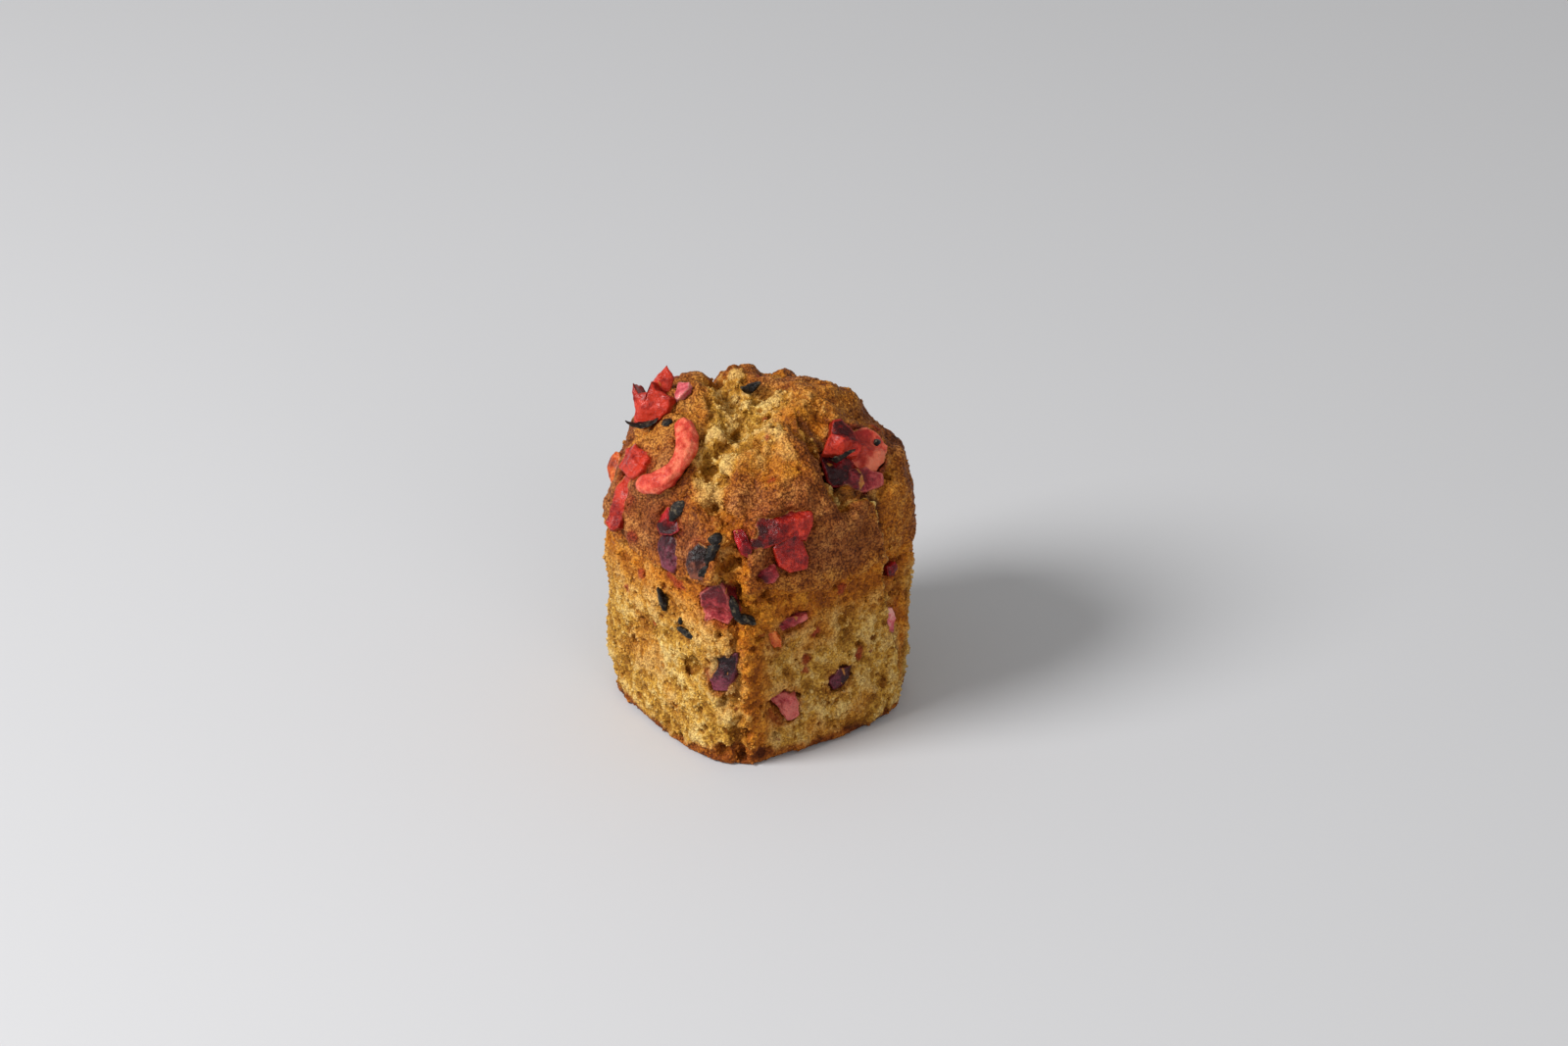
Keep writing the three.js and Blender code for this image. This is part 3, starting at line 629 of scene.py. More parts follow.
# where pale crumb shows between the crust lobes: centre, radius, how torn, how pale
tears = [
    ([-0.5, 10, 73], 6, 1, 0.9), ([-2.9, 1, 73], 8.5, 1, 1), ([3, -1, 75], 6.5, 1, 0.8),
    ([-7, -5, 73], 8, 1, 1), ([-12.6, -8, 71.5], 7.5, 1, 1), ([-17, -10.5, 70], 6.5, 1, 1),
    ([-20.5, -12.5, 67], 5, 1, 0.9), ([-22.5, -15, 63], 3.8, 1, 0.7), ([-12, -17, 72], 5, 0.8, 0.45),
    ([-7, -14.5, 74.8], 4.6, 0.9, 0.9), ([-9, -21, 71], 5.5, 0.7, 0.1), ([6, -10, 75.5], 6.5, 0.8, 0.2),
    ([9, -16, 73], 4.5, 0.7, 0.1), ([5, 20, 71], 5, 1, 0.5), ([16, 16, 69], 4.5, 0.8, 0.2),
    ([-20, 15, 67], 4, 0.8, 0.2), ([-26.5, -26.5, 50], 4.5, 1, 0.4), ([13, -28, 59.5], 4, 0.9, 0.8),
    ([17, -26, 61], 4.5, 0.8, 0.4), ([-24.5, -24, 59], 3.2, 0.9, 0.2),
]


# specks of fruit too small to stand out from the crumb: centre, radius
flecks = [
    ([-30.4, -10.4, 42.6], 1.5), ([-30.4, -8.4, 43], 1.3), ([-30.4, -12.6, 42.3], 1.4),
    ([-30.1, 3.6, 38.2], 1.2), ([-31.8, 3.4, 48.6], 1.5), ([-31.6, 5.2, 46.9], 1.1), ([1, -31.5, 39], 1.5),
    ([-5.6, -30.6, 29.9], 1.3), ([-8, -29.7, 23.4], 1.5), ([-8.2, -29.7, 20.6], 1.2), ([6.7, -30.8, 20], 1.6),
    ([-30.4, 8.6, 32.2], 1), ([-30.3, -2, 28], 0.9), ([-8.5, -16.5, 74.6], 0.8), ([-12.5, -23.5, 68], 0.9),
    ([12, 30.4, 22], 1.6), ([-6, 30.4, 38], 1.4), ([30.4, -6, 36], 1.5), ([30.4, 10, 14], 1.4),
    ([20, 29, 33], 1.2), ([-20, 29, 14], 1.3), ([30, -20, 30], 1.2), ([8, 8, 75], 1.3),
    ([24, -14, 66], 1.4), ([-4, 28, 60], 1.5),
]

goldPlaces = [([-13, 6, 74], 13), ([-21, 8, 68], 8)]   # crust that stayed golden: centre, radius
cavityPlaces = [([8.5, -23.6, 64.6], 4.6), ([12.4, -22.8, 66.2], 7.2)]   # its floor, where shade is painted into the clefts, and its fleshy rim

crumbMasks = ("raised", "crust", "brown", "pale", "toast", "foot", "dark", "recessShade", "stain")


def bodyGrid():
    bpy.ops.object.select_all(action='DESELECT')
    bpy.ops.mesh.primitive_cube_add(size=2)
    body = bpy.context.object
    bpy.ops.object.mode_set(mode='EDIT')
    bpy.ops.mesh.select_all(action='SELECT')
    bpy.ops.mesh.subdivide(number_cuts=crumb["firstCuts"])
    bpy.ops.mesh.subdivide(number_cuts=crumb["secondCuts"])
    bpy.ops.object.mode_set(mode='OBJECT')
    return body


def bodyForm(grid):
    # the cube's sides become the wall and the foot of the dome, its top the rest of the dome
    x, y, z = grid.T
    angle = np.arctan2(y, x)
    across = np.maximum(np.abs(x), np.abs(y))
    climb = (z + 1) / 2 * crumb["sideHeight"]
    above = climb - crumb["wallHeight"]
    onDome = 2 + above / (crumb["sideHeight"] - crumb["wallHeight"]) * crumb["domeFoot"]
    side = np.where(above < 0, 1 + climb / crumb["wallHeight"], onDome)
    dome = 2 + np.arccos(np.clip(across * crumb["topSpread"], 0, 1) ** (1 / form["domePower"])) * 2 / math.pi
    isTop = z > 0.9999
    isUnder = (z < -0.9999) & (across < 0.9999)
    level = np.where(isTop, dome, np.where(isUnder, across, side))
    return formPoints(angle, level), isUnder


def fruitGaps(points):
    # distance to the nearest fruit, below 0 inside it
    gaps = np.full(len(points), 9.0)
    for name in fruit:
        low, high = (np.array(corner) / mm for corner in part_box(name))
        near = np.nonzero(((points > low - 3) & (points < high + 3)).all(axis=1))[0]
        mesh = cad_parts[name].data
        corners = [v.co / mm for v in mesh.vertices]
        skin = BVHTree.FromPolygons(corners, [tuple(face.vertices) for face in mesh.polygons])
        gaps[near] = np.minimum(gaps[near], gapsTo(skin, points[near]))
    return gaps


def giveWay(points):
    # crumb moved in so that each cut piece shows to its outline; also the distance to an outline
    moved = points.copy()
    gaps = np.full(len(points), 9.0)
    ragged = 0.35 * lumps(points, 1.6, 66) + 0.2 * lumps(points, 0.8, 67)
    for at, thick, proud, facing, tone, facets, corners in cutFruit.values():
        right, up, away = facingOf(at, facing)
        corners = np.array(corners, float)
        middle = corners.mean(axis=0)
        near = np.nonzero(farFrom(points, at) < 13)[0]
        local = points[near] - np.array(at)
        u, v, high = local @ right - middle[0], local @ up - middle[1], local @ away
        reach = outlineReach(np.arctan2(v, u), corners - middle)
        gap = np.hypot(u, v) - reach + ragged[near]
        inside = (1 - smooth((gap + 0.4) / 0.8)) * (high > -4)
        moved[near] -= (inside * np.clip(high - proud + 2.5, 0, 7))[:, None] * away
        gaps[near] = np.minimum(gaps[near], np.where(np.abs(high) < 5, gap, 9))
    return moved, gaps


def makeBody():
    body = bodyGrid()
    base, isUnder = bodyForm(getPoints(body))
    height, cleft, over, past, back, fade = bodyRelief(base)
    height[isUnder] = 0
    points = base + outward(base) * height[:, None]
    gaps = fruitGaps(points)
    ragged = gaps + 0.35 * lumps(points, 1.7, 66) + 0.2 * lumps(points, 0.9, 67)
    points -= outward(points) * (0.9 * (1 - smooth((ragged + 0.1) / 0.6)))[:, None]
    points, cutGaps = giveWay(points)
    gaps = np.minimum(gaps, cutGaps)
    points[:, 2] = np.maximum(points[:, 2], 0)
    setPoints(body, points * mm)
    print("body form done")

    angle = np.arctan2(points[:, 1], points[:, 0])
    edge = lumps(points, 5, 61) + 0.6 * lumps(points, 2.2, 62) + 0.3 * lumps(points, 1.0, 63)
    torn = np.zeros(len(points))
    pale = np.zeros(len(points))
    inTear = np.full(len(points), -99.0)
    for centre, radius, howTorn, howPale in tears:
        gap = radius - farFrom(points, centre) + 1.4 * edge
        inTear = np.maximum(inTear, gap)
        torn = np.maximum(torn, howTorn * smooth(gap / 1.2 + 0.5))
        pale = np.maximum(pale, howPale * smooth(gap / 4 + 0.5))
    wall = 1 - smooth((over + 0.6 * edge) / 1.4 + 0.5)
    low = 1 - smooth((points[:, 2] - 27 - 3 * edge) / 18)
    beyond = fade * smooth((past - 0.1) / 0.6)
    # painted highlight: a thin line along the lip of the torn edge, painted pale as if it caught the light
    lit = fade * bell(past + 0.35, 0.42)
    # painted shadow: a soft band just beyond the set-back edge, where the step casts shade
    shade = fade * bell(past - 0.7 * back - 0.3, 0.9)
    besideEdge = 0.95 * beyond * np.exp(-np.clip(past, 0, None) / 9)
    torn = most(torn, wall, lit, smooth(cleft * 2.2 - 0.5), besideEdge)
    crust = 1 - torn

    # fine relief along the surface's own normals
    ontop = (1 - wall) * np.maximum(torn, 0.6 * smooth(1 + inTear / 5))
    clumps = lumps(points, 3.6, 71) + 0.7 * lumps(points, 1.8, 72) + 0.35 * lumps(points, 0.95, 73)
    heaped = 1.6 * np.abs(lumps(points, 4.4, 83)) + 1.1 * np.abs(lumps(points, 2.3, 84)) - 0.9
    clumps += 1.3 * ontop * heaped
    grains = lumps(points, 0.62, 74)
    sponge = points + warp(points, 1.6, 0.5, 78)
    small = holes(sponge, 2.6, 0.55, 0.4, 1.3, 81)
    large = holes(sponge, 7.5, 0.45, 0.9, 2.6, 82)
    pores = np.maximum(smooth(small * 2.2), smooth(large * 2.0))
    fine = torn * (crumb["clumps"] * clumps + crumb["grains"] * grains)
    fine -= torn * (crumb["smallPores"] * smooth(small * 1.6) + crumb["largePores"] * smooth(large * 1.6))
    pebble = 1.1 * lumps(points, 2.4, 86) + 1.2 * lumps(points, 1.5, 76) + 1.1 * lumps(points, 0.9, 77)
    pebbled = crumb["crustPebble"] * (pebble + 0.9 * lumps(points, 0.6, 79))
    fine += crust * (0.30 * lumps(points, 5.5, 75) + pebbled)
    fine += crust * ontop * 0.5 * heaped
    fine += 0.55 * crust - 0.15
    foot = smooth(points[:, 2] / 2.5)
    fine *= 0.35 + 0.65 * foot
    normals = normalsOf(body)
    under = isUnder | (points[:, 2] < 0.02)
    points = points + normals * fine[:, None]
    lift = np.clip(0.9 * smooth(small * 1.8) + 1.2 * smooth(large * 1.6) - 0.25, 0, None)
    points[under, 2] = lift[under] * isUnder[under]
    points[:, 2] = np.maximum(points[:, 2], 0)
    setPoints(body, points * mm)
    print("body crumb done")

    ridge = bell(pleatGap(angle) - 4.2, 4.0) * smooth((46 - points[:, 2]) / 6)
    strip = beyond * smooth((60 - points[:, 2]) / 8) * (0.8 + 0.3 * edge)
    strip *= 0.25 + 0.75 * smooth((past - 3.2 + 1.2 * edge) / 2.5)
    underLedge = bell(over + 2.5, 4) * (1 - crust)
    onRight = smooth((-points[:, 1] - 24) / 4) * smooth((points[:, 0] + 28) / 4)
    high = smooth((points[:, 2] - 24) / 20)
    toast = 1.05 * ridge + 0.9 * strip + 0.5 * underLedge + 0.65 * high + onRight * (0.1 + 0.5 * high)
    toast = toast * (0.9 + 0.4 * edge) + 0.5 * wall * smooth(lumps(points, 7, 64) * 1.4 - 0.1)
    toast = np.clip(toast, 0, 1) * (1 - 0.8 * crust) + 0.7 * ontop * (1 - pale) * smooth(0.6 + edge)
    toast *= (1 - lit) * (1 - 0.55 * pale)
    goldTop = most(*[bell(farFrom(points, centre), radius) for centre, radius in goldPlaces])
    brown = smooth(0.42 - inTear / 6 + 0.35 * edge) * smooth((over + 1.5 * edge) / 5) * (1 - beyond)
    brown *= 1 - 0.9 * goldTop
    brown = crust * brown * (0.85 + 0.2 * lumps(points, 6, 65))
    stain = 0.8 * np.exp(-np.clip(gaps, 0, None) / 0.9) * (0.6 + 0.5 * edge)
    for centre, radius in flecks:
        gap = farFrom(sponge, centre) - radius
        stain = np.maximum(stain, 1.2 * (1 - smooth(gap / 0.8 + 0.6)))
    stain = np.maximum(stain, 0.9 * torn * smooth(2.5 * holes(sponge, 5.5, 0.4, 0.3, 1.1, 85)))
    atCorner = bell(turnFrom(angle, -135), math.radians(13))
    foot = 1 - smooth((points[:, 2] - 1.3 - 1.1 * edge - 3.6 * atCorner) / (1.6 + 1.2 * atCorner))
    (centre, radius), (fleshCentre, fleshRadius) = cavityPlaces
    inCavity = 1 - smooth((farFrom(points, centre) - radius + edge) / 2)
    fleshy = 1 - smooth((farFrom(points, fleshCentre) - fleshRadius + 0.8 * edge) / 1.6)
    stain = np.maximum(stain, fleshy)
    # painted light and shade: crumb that stands out is painted paler, and its pores darker
    raised = 0.5 + torn * (0.34 * clumps + 0.16 * grains - 0.5 * pores)
    addMask(body, "raised", raised + 0.2 * crust * pebble + 0.12 * pale * ontop + 0.45 * crust * goldTop)
    addMask(body, "crust", crust)
    addMask(body, "brown", brown)
    # pale crumb, plus the painted highlight along the lit lip of the torn edge
    addMask(body, "pale", most(pale, 0.9 * lit, 0.75 * low * wall) * (1 - strip))
    addMask(body, "toast", toast)
    addMask(body, "foot", foot)
    # painted shade in the cavity's clefts and beside the torn edge, with a plum tint over the fleshy rim
    addMask(body, "dark", most(inCavity * smooth(cleft * 1.6), 0.45 * fleshy, 0.75 * shade))
    addMask(body, "stain", stain)
    # painted shade: darker in the pores and cracks and in the band beside the torn edge
    addMask(body, "recessShade", most(torn * pores, 0.5 * cleft * (1 - 0.8 * pale), shade))
    thin = crumb["triangles"] / (2 * len(body.data.polygons))
    applyModifier(body, "thin", 'DECIMATE', ratio=thin, use_collapse_triangulate=True)
    return body


def crumbFinish():
    # baked muffin crumb: an open sponge, pale gold where it tore, toasted brown and finely
    # pebbled where the crust formed, so it is matt with small dull glints and no clear highlight
    material, tree = newMaterial("bakedCrumb")
    place = addNode(tree, 'ShaderNodeTexCoord').outputs["Object"]
    mask = {}
    for name in crumbMasks:
        mask[name] = addNode(tree, 'ShaderNodeAttribute', {"attribute_name": name}).outputs["Fac"]
    patch, clump, grain = [
        addNode(tree, 'ShaderNodeTexNoise', inputs={
            "Vector": place, "Scale": scale, "Detail": detail, "Roughness": rough}).outputs["Fac"]
        for scale, detail, rough in (
            (150, 3, 0.6),      # 7 mm, uneven baking
            (520, 4, 0.65),     # 2 mm, clumps of crumb
            (1600, 2, 0.6),     # 0.6 mm, single grains
        )]
    bent = addNode(tree, 'ShaderNodeVectorMath', {"operation": 'MULTIPLY_ADD'}, {
        0: addNode(tree, 'ShaderNodeTexNoise', inputs={"Vector": place, "Scale": 700}).outputs["Color"],
        1: (0.0003, 0.0003, 0.0003), 2: place}).outputs[0]
    cells = addNode(tree, 'ShaderNodeTexVoronoi', inputs={   # 1 mm, the sponge between bubbles
        "Vector": bent, "Scale": 980}).outputs["Distance"]
    specks = addNode(tree, 'ShaderNodeTexVoronoi', inputs={   # 0.5 mm, pebbled crust
        "Vector": bent, "Scale": 1900}).outputs["Distance"]

    def ramp(value, *stops):
        return addNode(tree, 'ShaderNodeValToRGB', inputs={"Fac": value}, stops=stops).outputs["Color"]

    # painted light and shade: what stands out of the crumb is painted paler than what lies deep
    level = addNode(tree, 'ShaderNodeMath', {"operation": 'MULTIPLY_ADD'}, {
        0: addNode(tree, 'ShaderNodeMath', {"operation": 'SUBTRACT'}, {0: clump, 1: 0.5}).outputs[0],
        1: 1.3, 2: mask["raised"]}).outputs[0]
    tone = ramp(level, (0.15, "#9A5A16"), (0.48, "#CC8C34"), (0.80, "#E6B86C"))
    baked = addNode(tree, 'ShaderNodeMath', {"operation": 'MULTIPLY_ADD'}, {
        0: addNode(tree, 'ShaderNodeMath', {"operation": 'SUBTRACT'}, {0: level, 1: 0.5}).outputs[0],
        1: 0.35, 2: patch}).outputs[0]
    for name, value, stops in (
        ("pale", level, ((0.15, "#A07422"), (0.48, "#D2A846"), (0.80, "#ECD488"))),
        ("crust", baked, ((0.30, "#9A5416"), (0.50, "#C07A2A"), (0.70, "#DC9E48"))),
        ("brown", baked, ((0.30, "#6E3A1A"), (0.50, "#965832"), (0.70, "#BC8050"))),
        ("toast", level, ((0.15, "#924E0C"), (0.48, "#BE7016"), (0.80, "#D8902A"))),
        ("foot", level, ((0.15, "#5E2A0A"), (0.48, "#8E4A12"), (0.80, "#B87024"))),
    ):
        tone = addNode(tree, 'ShaderNodeMix', {"data_type": 'RGBA'}, {
            0: mask[name], 6: tone, 7: ramp(value, *stops)}).outputs[2]
    for name, amount, colour in (
        # painted shade in the pores, the cracks and beside the torn edge
        ("recessShade", 0.55, "#8A4A10"),
        ("stain", 0.8, "#9C2E1E"),
        # painted shade in the cavity and beside the torn edge, with a plum tint on the fleshy rim
        ("dark", 0.9, "#2A0E10"),
    ):
        share = addNode(tree, 'ShaderNodeMath', {"operation": 'MULTIPLY'}, {
            0: mask[name], 1: amount}).outputs[0]
        tone = addNode(tree, 'ShaderNodeMix', {"data_type": 'RGBA'}, {
            0: share, 6: tone, 7: hexColour(colour)}).outputs[2]
    # painted light and shade: the grains are left light, and what lies between them is painted darker and
    # browner
    grainShade = addNode(tree, 'ShaderNodeMath', {"operation": 'MULTIPLY_ADD'}, {
        0: mask["crust"], 1: 0.28, 2: 0.46}).outputs[0]
    for value, amount, stops in (
        (cells, 0.35, ((0.20, "#FFFFFF"), (0.50, "#F4EADC"), (0.75, "#A07040"))),
        (specks, grainShade, ((0.16, "#FFFFFF"), (0.44, "#F4EADC"), (0.70, "#7A4C2A"))),
        (grain, grainShade, ((0.36, "#8A6444"), (0.46, "#F6F0E8"), (0.58, "#FFFFFF"))),
    ):
        tone = addNode(tree, 'ShaderNodeMix', {"data_type": 'RGBA', "blend_type": 'MULTIPLY'}, {
            0: amount, 6: tone, 7: ramp(value, *stops)}).outputs[2]

    # bumps of the pebbles, the sponge and the single grains
    bump = addNode(tree, 'ShaderNodeBump', {"invert": True}, {
        "Height": specks, "Strength": 0.6, "Distance": 0.0004})
    bump = addNode(tree, 'ShaderNodeBump', {"invert": True}, {
        "Height": cells, "Strength": 0.35, "Distance": 0.0004, "Normal": bump.outputs["Normal"]})
    bump = addNode(tree, 'ShaderNodeBump', inputs={
        "Height": grain, "Strength": 0.5, "Distance": 0.0006, "Normal": bump.outputs["Normal"]})
    shader = addNode(tree, 'ShaderNodeBsdfPrincipled', inputs={
        "Base Color": tone, "Roughness": 0.55, "IOR": 1.42, "Specular IOR Level": 0.16,
        "Normal": bump.outputs["Normal"]})
    addNode(tree, 'ShaderNodeOutputMaterial', inputs={"Surface": shader.outputs["BSDF"]})
    return material


fruitKinds = {   # dark, middle and light colour, roughness, how much light passes into it
    "red": ("#340304", "#7A0E0A", "#B8301C", 0.24, 0.14),
    "coral": ("#98201A", "#C43E2C", "#E67A5A", 0.32, 0.15),
    "orange": ("#641604", "#B4440E", "#E0803C", 0.26, 0.14),
    "darkRed": ("#2C0206", "#6E060C", "#B0262A", 0.14, 0.14),
    "magenta": ("#4E0A12", "#92262C", "#C8665C", 0.34, 0.12),
    "pink": ("#9C2C38", "#CC5C62", "#E8A498", 0.36, 0.12),
    "plum": ("#160408", "#440E1A", "#7A3444", 0.32, 0.05),
    "brown": ("#120604", "#341410", "#7A4430", 0.26, 0.05),
}


def fruitFinish(kind):
    # candied fruit: sugar-soaked flesh, faintly clear, each cut face of its own depth of colour,
    # paler along the cut edges, with a wet gloss over fine wrinkles and crumb clinging round the rim
    low, middle, high, roughness, depth = fruitKinds[kind]
    material, tree = newMaterial("candiedFruit" + kind[0].upper() + kind[1:])
    place = addNode(tree, 'ShaderNodeTexCoord').outputs["Object"]
    mask = {}
    for name in ("tone", "cutEdge", "rim"):
        mask[name] = addNode(tree, 'ShaderNodeAttribute', {"attribute_name": name}).outputs["Fac"]
    blotch = addNode(tree, 'ShaderNodeTexNoise', inputs={   # 2 mm, uneven colour of the flesh
        "Vector": place, "Scale": 480, "Detail": 5, "Roughness": 0.75}).outputs["Fac"]
    wrinkle = addNode(tree, 'ShaderNodeTexNoise', inputs={   # 0.8 mm wrinkles
        "Vector": place, "Scale": 1300, "Detail": 4, "Roughness": 0.65}).outputs["Fac"]

    def sums(kind, first, second, third=0.0, clamp=False):
        return addNode(tree, 'ShaderNodeMath', {"operation": kind, "use_clamp": clamp}, {
            0: first, 1: second, 2: third}).outputs[0]

    shade = sums('ADD', sums('MULTIPLY_ADD', blotch, 2.2, -1.1), mask["tone"], clamp=True)
    ramp = addNode(tree, 'ShaderNodeValToRGB', inputs={"Fac": shade},
                   stops=((0.08, low), (0.5, middle), (0.95, high)))
    edge = sums('MULTIPLY', mask["cutEdge"], sums('MULTIPLY_ADD', wrinkle, 2.0, -0.45, clamp=True))
    tone = addNode(tree, 'ShaderNodeMix', {"data_type": 'RGBA'}, {
        0: edge, 6: ramp.outputs["Color"], 7: hexColour(high)}).outputs[2]
    cling = sums('MULTIPLY', sums('ADD', mask["rim"], sums('MULTIPLY_ADD', wrinkle, 3.0, -1.5), clamp=True),
                 mask["rim"])
    tone = addNode(tree, 'ShaderNodeMix', {"data_type": 'RGBA'}, {
        0: cling, 6: tone, 7: hexColour("#A4682C")}).outputs[2]
    bump = addNode(tree, 'ShaderNodeBump', inputs={
        "Height": wrinkle, "Strength": 0.6, "Distance": 0.0006})
    shader = addNode(tree, 'ShaderNodeBsdfPrincipled', inputs={
        "Base Color": tone, "Roughness": roughness, "IOR": 1.45,
        "Subsurface Weight": depth, "Subsurface Radius": (1.0, 0.22, 0.14), "Subsurface Scale": 0.0012,
        "Specular IOR Level": 0.25, "Coat Weight": 0.08, "Coat Roughness": 0.08,
        "Normal": bump.outputs["Normal"]})
    addNode(tree, 'ShaderNodeOutputMaterial', inputs={"Surface": shader.outputs["BSDF"]})
    return material


def flakeFinish():
    # dried black peel, baked hard: nearly black, leathery, with dull silvery glints on its folds
    material, tree = newMaterial("driedBlackPeel")
    place = addNode(tree, 'ShaderNodeTexCoord').outputs["Object"]
    fleck = addNode(tree, 'ShaderNodeTexNoise', inputs={
        "Vector": place, "Scale": 900, "Detail": 4, "Roughness": 0.7}).outputs["Fac"]
    ramp = addNode(tree, 'ShaderNodeValToRGB', inputs={"Fac": fleck},
                   stops=((0.40, "#0A0706"), (0.54, "#1C1613"), (0.68, "#5E523C")))
    bump = addNode(tree, 'ShaderNodeBump', inputs={"Height": fleck, "Strength": 0.8, "Distance": 0.0006})
    shader = addNode(tree, 'ShaderNodeBsdfPrincipled', inputs={
        "Base Color": ramp.outputs["Color"], "Roughness": 0.36, "IOR": 1.5, "Specular IOR Level": 0.2,
        "Normal": bump.outputs["Normal"]})
    addNode(tree, 'ShaderNodeOutputMaterial', inputs={"Surface": shader.outputs["BSDF"]})
    return material


def skinOf(piece):
    points = readAll(piece.data.vertices, "co", 3)
    corners = readAll(piece.data.loops, "vertex_index", 1, np.int32).reshape(-1, 3)
    return BVHTree.FromPolygons(points.tolist(), corners.tolist())


def gapsTo(skin, points):
    # distance to a skin, below 0 inside it, in the skin's own units
    gaps = np.empty(len(points))
    for i, point in enumerate(points):
        foot, normal, face, gap = skin.find_nearest(Vector(point))
        gaps[i] = -gap if (Vector(point) - foot).dot(normal) < 0 else gap
    return gaps


def normalsOf(piece):
    return readAll(piece.data.vertex_normals, "vector", 3)


def wrinkleSkin(piece, height, uneven, seed):
    points = getPoints(piece) / mm
    points += warp(points, 4.5, uneven, seed) + warp(points, 2.2, 0.5 * uneven, seed + 5)
    rise = 0.9 * lumps(points, 2.6, 91) + 0.6 * lumps(points, 1.3, 92) + 0.3 * lumps(points, 0.7, 93)
    setPoints(piece, (points + normalsOf(piece) * (height * rise)[:, None]) * mm)


def cutPiece(node, seed):
    # a ball drawn out to the outline, flattened, and its top cut off in a few slanting faces
    at, thick, proud, facing, (way, darkest, brightest), facets, corners = cutFruit[node]
    piece = newBall(6)
    ball = getPoints(piece)
    corners = np.array(corners, float)
    middle = corners.mean(axis=0)
    turn = np.arctan2(ball[:, 1], ball[:, 0])
    down = np.arccos(np.clip(np.abs(ball[:, 2]), 0, 1)) / (math.pi / 2)
    reach = outlineReach(turn, corners - middle)
    out = (1 - (1 - down) ** 2) ** 0.8
    level = np.sign(ball[:, 2]) * (1 - down ** 4) ** (1 / 3)
    u, v = out * reach * np.cos(turn), out * reach * np.sin(turn)
    wide = np.sqrt((reach ** 2).mean())
    top = np.full(len(ball), thick / 2)
    faceTone = np.zeros(len(ball))
    draws = np.random.default_rng(seed)
    for number in range(5):
        lean = draws.uniform(0, 2 * math.pi)
        cut = thick / 2 - facets * draws.uniform(0.5, 1.1) * (
            u * math.cos(lean) + v * math.sin(lean) - draws.uniform(-0.1, 0.35) * wide)
        faceTone = np.where(cut < top, draws.uniform(-1, 1), faceTone)
        top = np.minimum(top, np.maximum(cut, thick / 2 - 1.3))
    height = np.where(level > 0, level * top, level * thick / 2)
    right, up, away = facingOf(at, facing)
    points = np.array(at) + (u + middle[0])[:, None] * right + (v + middle[1])[:, None] * up
    points += (proud - thick / 2 + height)[:, None] * away
    setPoints(piece, points * mm)
    a = math.radians(way)
    along = smooth(0.5 + 0.5 * (u * math.cos(a) + v * math.sin(a)) / wide)
    tone = darkest + (brightest - darkest) * along + 0.3 * facets * faceTone
    addMask(piece, "tone", tone)
    onTop = (ball[:, 2] > 0) * (1 - smooth((down - 0.86) / 0.1))
    addMask(piece, "cutEdge", 0.75 * smooth((out - 0.84) / 0.1) * onTop)
    return piece


fruitSink = {   # mm that a piece lies deeper than its solid, baked into the crumb
    "backPlum": 0.5, "rearRed": 0.5, "rearCoral": 0.5, "hookStrip": -0.1,
}


def solidPiece(node):
    # a copy of the solid, made one skin and a little fuller
    piece = bpy.data.objects.new(node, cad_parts[node].data.copy())
    scene.collection.objects.link(piece)
    piece.data.materials.clear()
    selectOnly(piece)
    bpy.ops.object.mode_set(mode='EDIT')
    bpy.ops.mesh.select_all(action='SELECT')
    bpy.ops.mesh.remove_doubles(threshold=0.00002)
    bpy.ops.object.mode_set(mode='OBJECT')
    applyModifier(piece, "skin", 'REMESH', mode='VOXEL', voxel_size=0.00026)
    applyModifier(piece, "soften", 'SMOOTH', factor=0.6, iterations=3)
    points = getPoints(piece) / mm
    points += 0.3 * normalsOf(piece) - fruitSink.get(node, 0.1) * outward(points.mean(axis=0)[None, :])
    setPoints(piece, points * mm)
    return piece


def makeFruit(node, wrinkle, finish, crumbSkin, seed):
    cut = node in cutFruit
    piece = cutPiece(node, seed) if cut else solidPiece(node)
    piece.name = node + "Flesh"
    piece.data.materials.append(finish)
    wrinkleSkin(piece, wrinkle, 0.35 if cut else 0.5, seed)
    points = getPoints(piece)
    gaps = gapsTo(crumbSkin, points) / mm
    addMask(piece, "rim", 0.95 * smooth(1 - gaps / 0.65))
    if not cut:
        uneven = lumps(points / mm, 3.0, seed)
        addMask(piece, "tone", 0.14 + 0.4 * smooth(gaps / 2) + 0.2 * uneven)
        addMask(piece, "cutEdge", 0.0 * gaps)
    selectOnly(piece)
    bpy.ops.object.shade_smooth()
    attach(piece, "root")
    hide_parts(node)
    return piece


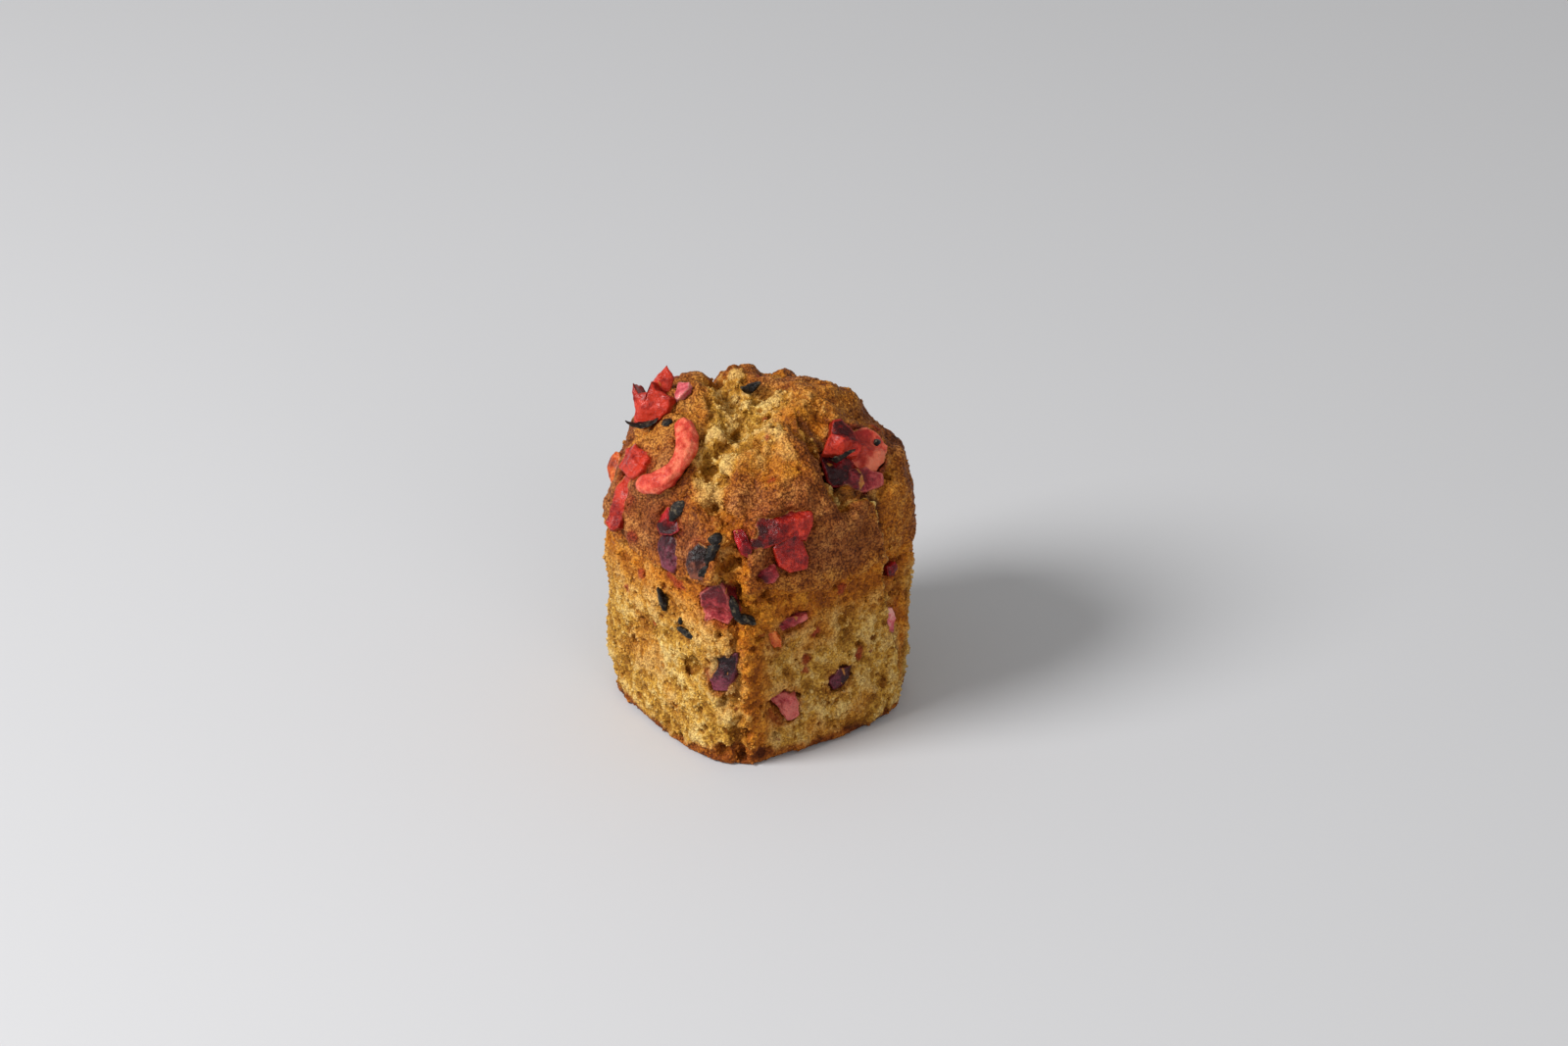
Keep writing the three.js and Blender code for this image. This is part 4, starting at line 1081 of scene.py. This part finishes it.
# black flakes baked onto the crust: centre, size across, up and through, turn
flakes = [
    ([2.3, 4.5, 75.2], (5.2, 2.6, 1.6), 12), ([-28.4, -9.6, 60.4], (3.4, 6.4, 2.2), -14),
    ([-19.2, 7.2, 71.8], (3.6, 2.6, 1.6), 30), ([-28, -23.3, 58.2], (2.6, 3.6, 2), -38),
    ([-29.4, -23.6, 55.2], (2.4, 6.2, 2.2), -22), ([-30.8, -23, 50.8], (2.4, 5.4, 2), -40),
    ([-31.2, -6.2, 36.4], (1.9, 6.2, 2), 28), ([-26, -27.6, 41.9], (2, 5.2, 2.2), 12),
    ([-23.6, -28.6, 38.5], (4.8, 2.4, 2.2), -20), ([-30.2, -14.6, 31.2], (4.8, 1.8, 1.4), -24),
    ([30.6, -14, 53], (3, 4.6, 1.8), -25), ([10, 26, 66], (4, 2.4, 1.8), 30),
    ([-22.7, 11.8, 70.2], (7.2, 2.2, 0.7), 0), ([17.6, -22.6, 67.6], (2.2, 1.6, 1.4), 0),
    ([-30.3, -12.5, 33.2], (1.3, 1.3, 1.2), 0), ([6.4, -24.2, 68.2], (7.4, 1.1, 1.8), -6),
]


leafOut = {"number": 12, "along": [-0.81, 0.58, -0.08]}   # the one leaf that sticks out of the crust


def makeFlakes(finish):
    made = []
    for number, (at, size, spin) in enumerate(flakes):
        right, up, away = facingOf(at, None)
        if number == leafOut["number"]:
            right = np.array(leafOut["along"])
            away = np.array([0, 0, 1]) - right[2] * right
            up = np.cross(away, right)
        turn = np.stack([right, up, away], axis=1) @ np.array(Matrix.Rotation(math.radians(spin), 3, 'Z'))
        centre = np.array(at) + away * (0.75 - size[2] / 2)
        flake = newBall(5)
        points = getPoints(flake) * np.array(size) * 0.52
        points[:, 2] += 0.10 * points[:, 0] ** 2 - 0.03 * points[:, 1] ** 2
        points = points @ turn.T + centre
        points += warp(points, 2.4, 0.45, 300 + number) + warp(points, 1.0, 0.22, 320 + number)
        setPoints(flake, points * mm)
        made.append(flake)
    bpy.ops.object.select_all(action='DESELECT')
    for flake in made:
        flake.select_set(True)
    bpy.context.view_layer.objects.active = made[0]
    bpy.ops.object.join()
    piece = bpy.context.object
    piece.name = "blackPeel"
    piece.data.materials.append(finish)
    bpy.ops.object.shade_smooth()
    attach(piece, "root")
    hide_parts("body")
    return piece


looseCrumbs = {
    "count": 4200,
    "smallest": 0.22,     # mm, half their width
    "largest": 0.60,
    "onCrust": 0.16,      # how many lie on the crust for each one on torn crumb
}


def makeCrumbs(body, finish):
    # grains that stand out from the torn crumb, each baked on where it lies and of the same colour
    piece = newBall(1)
    piece.name = "looseCrumbs"
    ball = getPoints(piece)
    faces = np.array([face.vertices[:] for face in piece.data.polygons])
    spots, normals = getPoints(body) / mm, normalsOf(body)
    count = looseCrumbs["count"]
    draws = np.random.default_rng(5)
    weight = (looseCrumbs["onCrust"] + 1 - getMask(body, "crust")) * (spots[:, 2] > 0.3)
    chosen = draws.choice(len(spots), count, replace=False, p=weight / weight.sum())
    smallest, largest = looseCrumbs["smallest"], looseCrumbs["largest"]
    size = smallest + (largest - smallest) * draws.random(count) ** 2.5
    shape = ball * (1 + 0.25 * draws.uniform(-1, 1, (count, len(ball), 1)))
    shape = shape * draws.uniform(0.65, 1.15, (count, 1, 3))
    middles = spots[chosen] + 0.05 * size[:, None] * normals[chosen]
    points = middles[:, None] + size[:, None, None] * shape
    points[:, :, 2] = np.maximum(points[:, :, 2], 0.02)
    corners = (faces[None] + len(ball) * np.arange(count)[:, None, None]).reshape(-1, 3)
    mesh = bpy.data.meshes.new("looseCrumbs")
    mesh.from_pydata(points.reshape(-1, 3) * mm, [], corners)
    piece.data = mesh
    for name in crumbMasks:
        share = {"crust": 0.6, "recessShade": 0.0}.get(name, 1.0)
        # painted light: loose crumbs are painted a little paler because they stand out
        values = share * getMask(body, name)[chosen] + 0.25 * (name == "raised")
        addMask(piece, name, np.repeat(values, len(ball)))
    mesh.materials.append(finish)
    selectOnly(piece)
    bpy.ops.object.shade_smooth()
    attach(piece, "root")
    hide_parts("body")
    return piece


body = makeBody()
body.name = "crumbBody"
crumbPaint = crumbFinish()
body.data.materials.append(crumbPaint)
selectOnly(body)
bpy.ops.object.shade_smooth()
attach(body, "root")
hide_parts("body")
print("body finished:", len(body.data.polygons), "faces")
makeCrumbs(body, crumbPaint)
print("loose crumbs finished")

finishes = {kind: fruitFinish(kind) for kind in fruitKinds}
crumbSkin = skinOf(body)
for number, (node, (kind, slotName, wrinkle)) in enumerate(fruit.items()):
    makeFruit(node, wrinkle, finishes[kind], crumbSkin, 100 + 7 * number)
print("fruit finished")
makeFlakes(flakeFinish())
print("flakes finished")
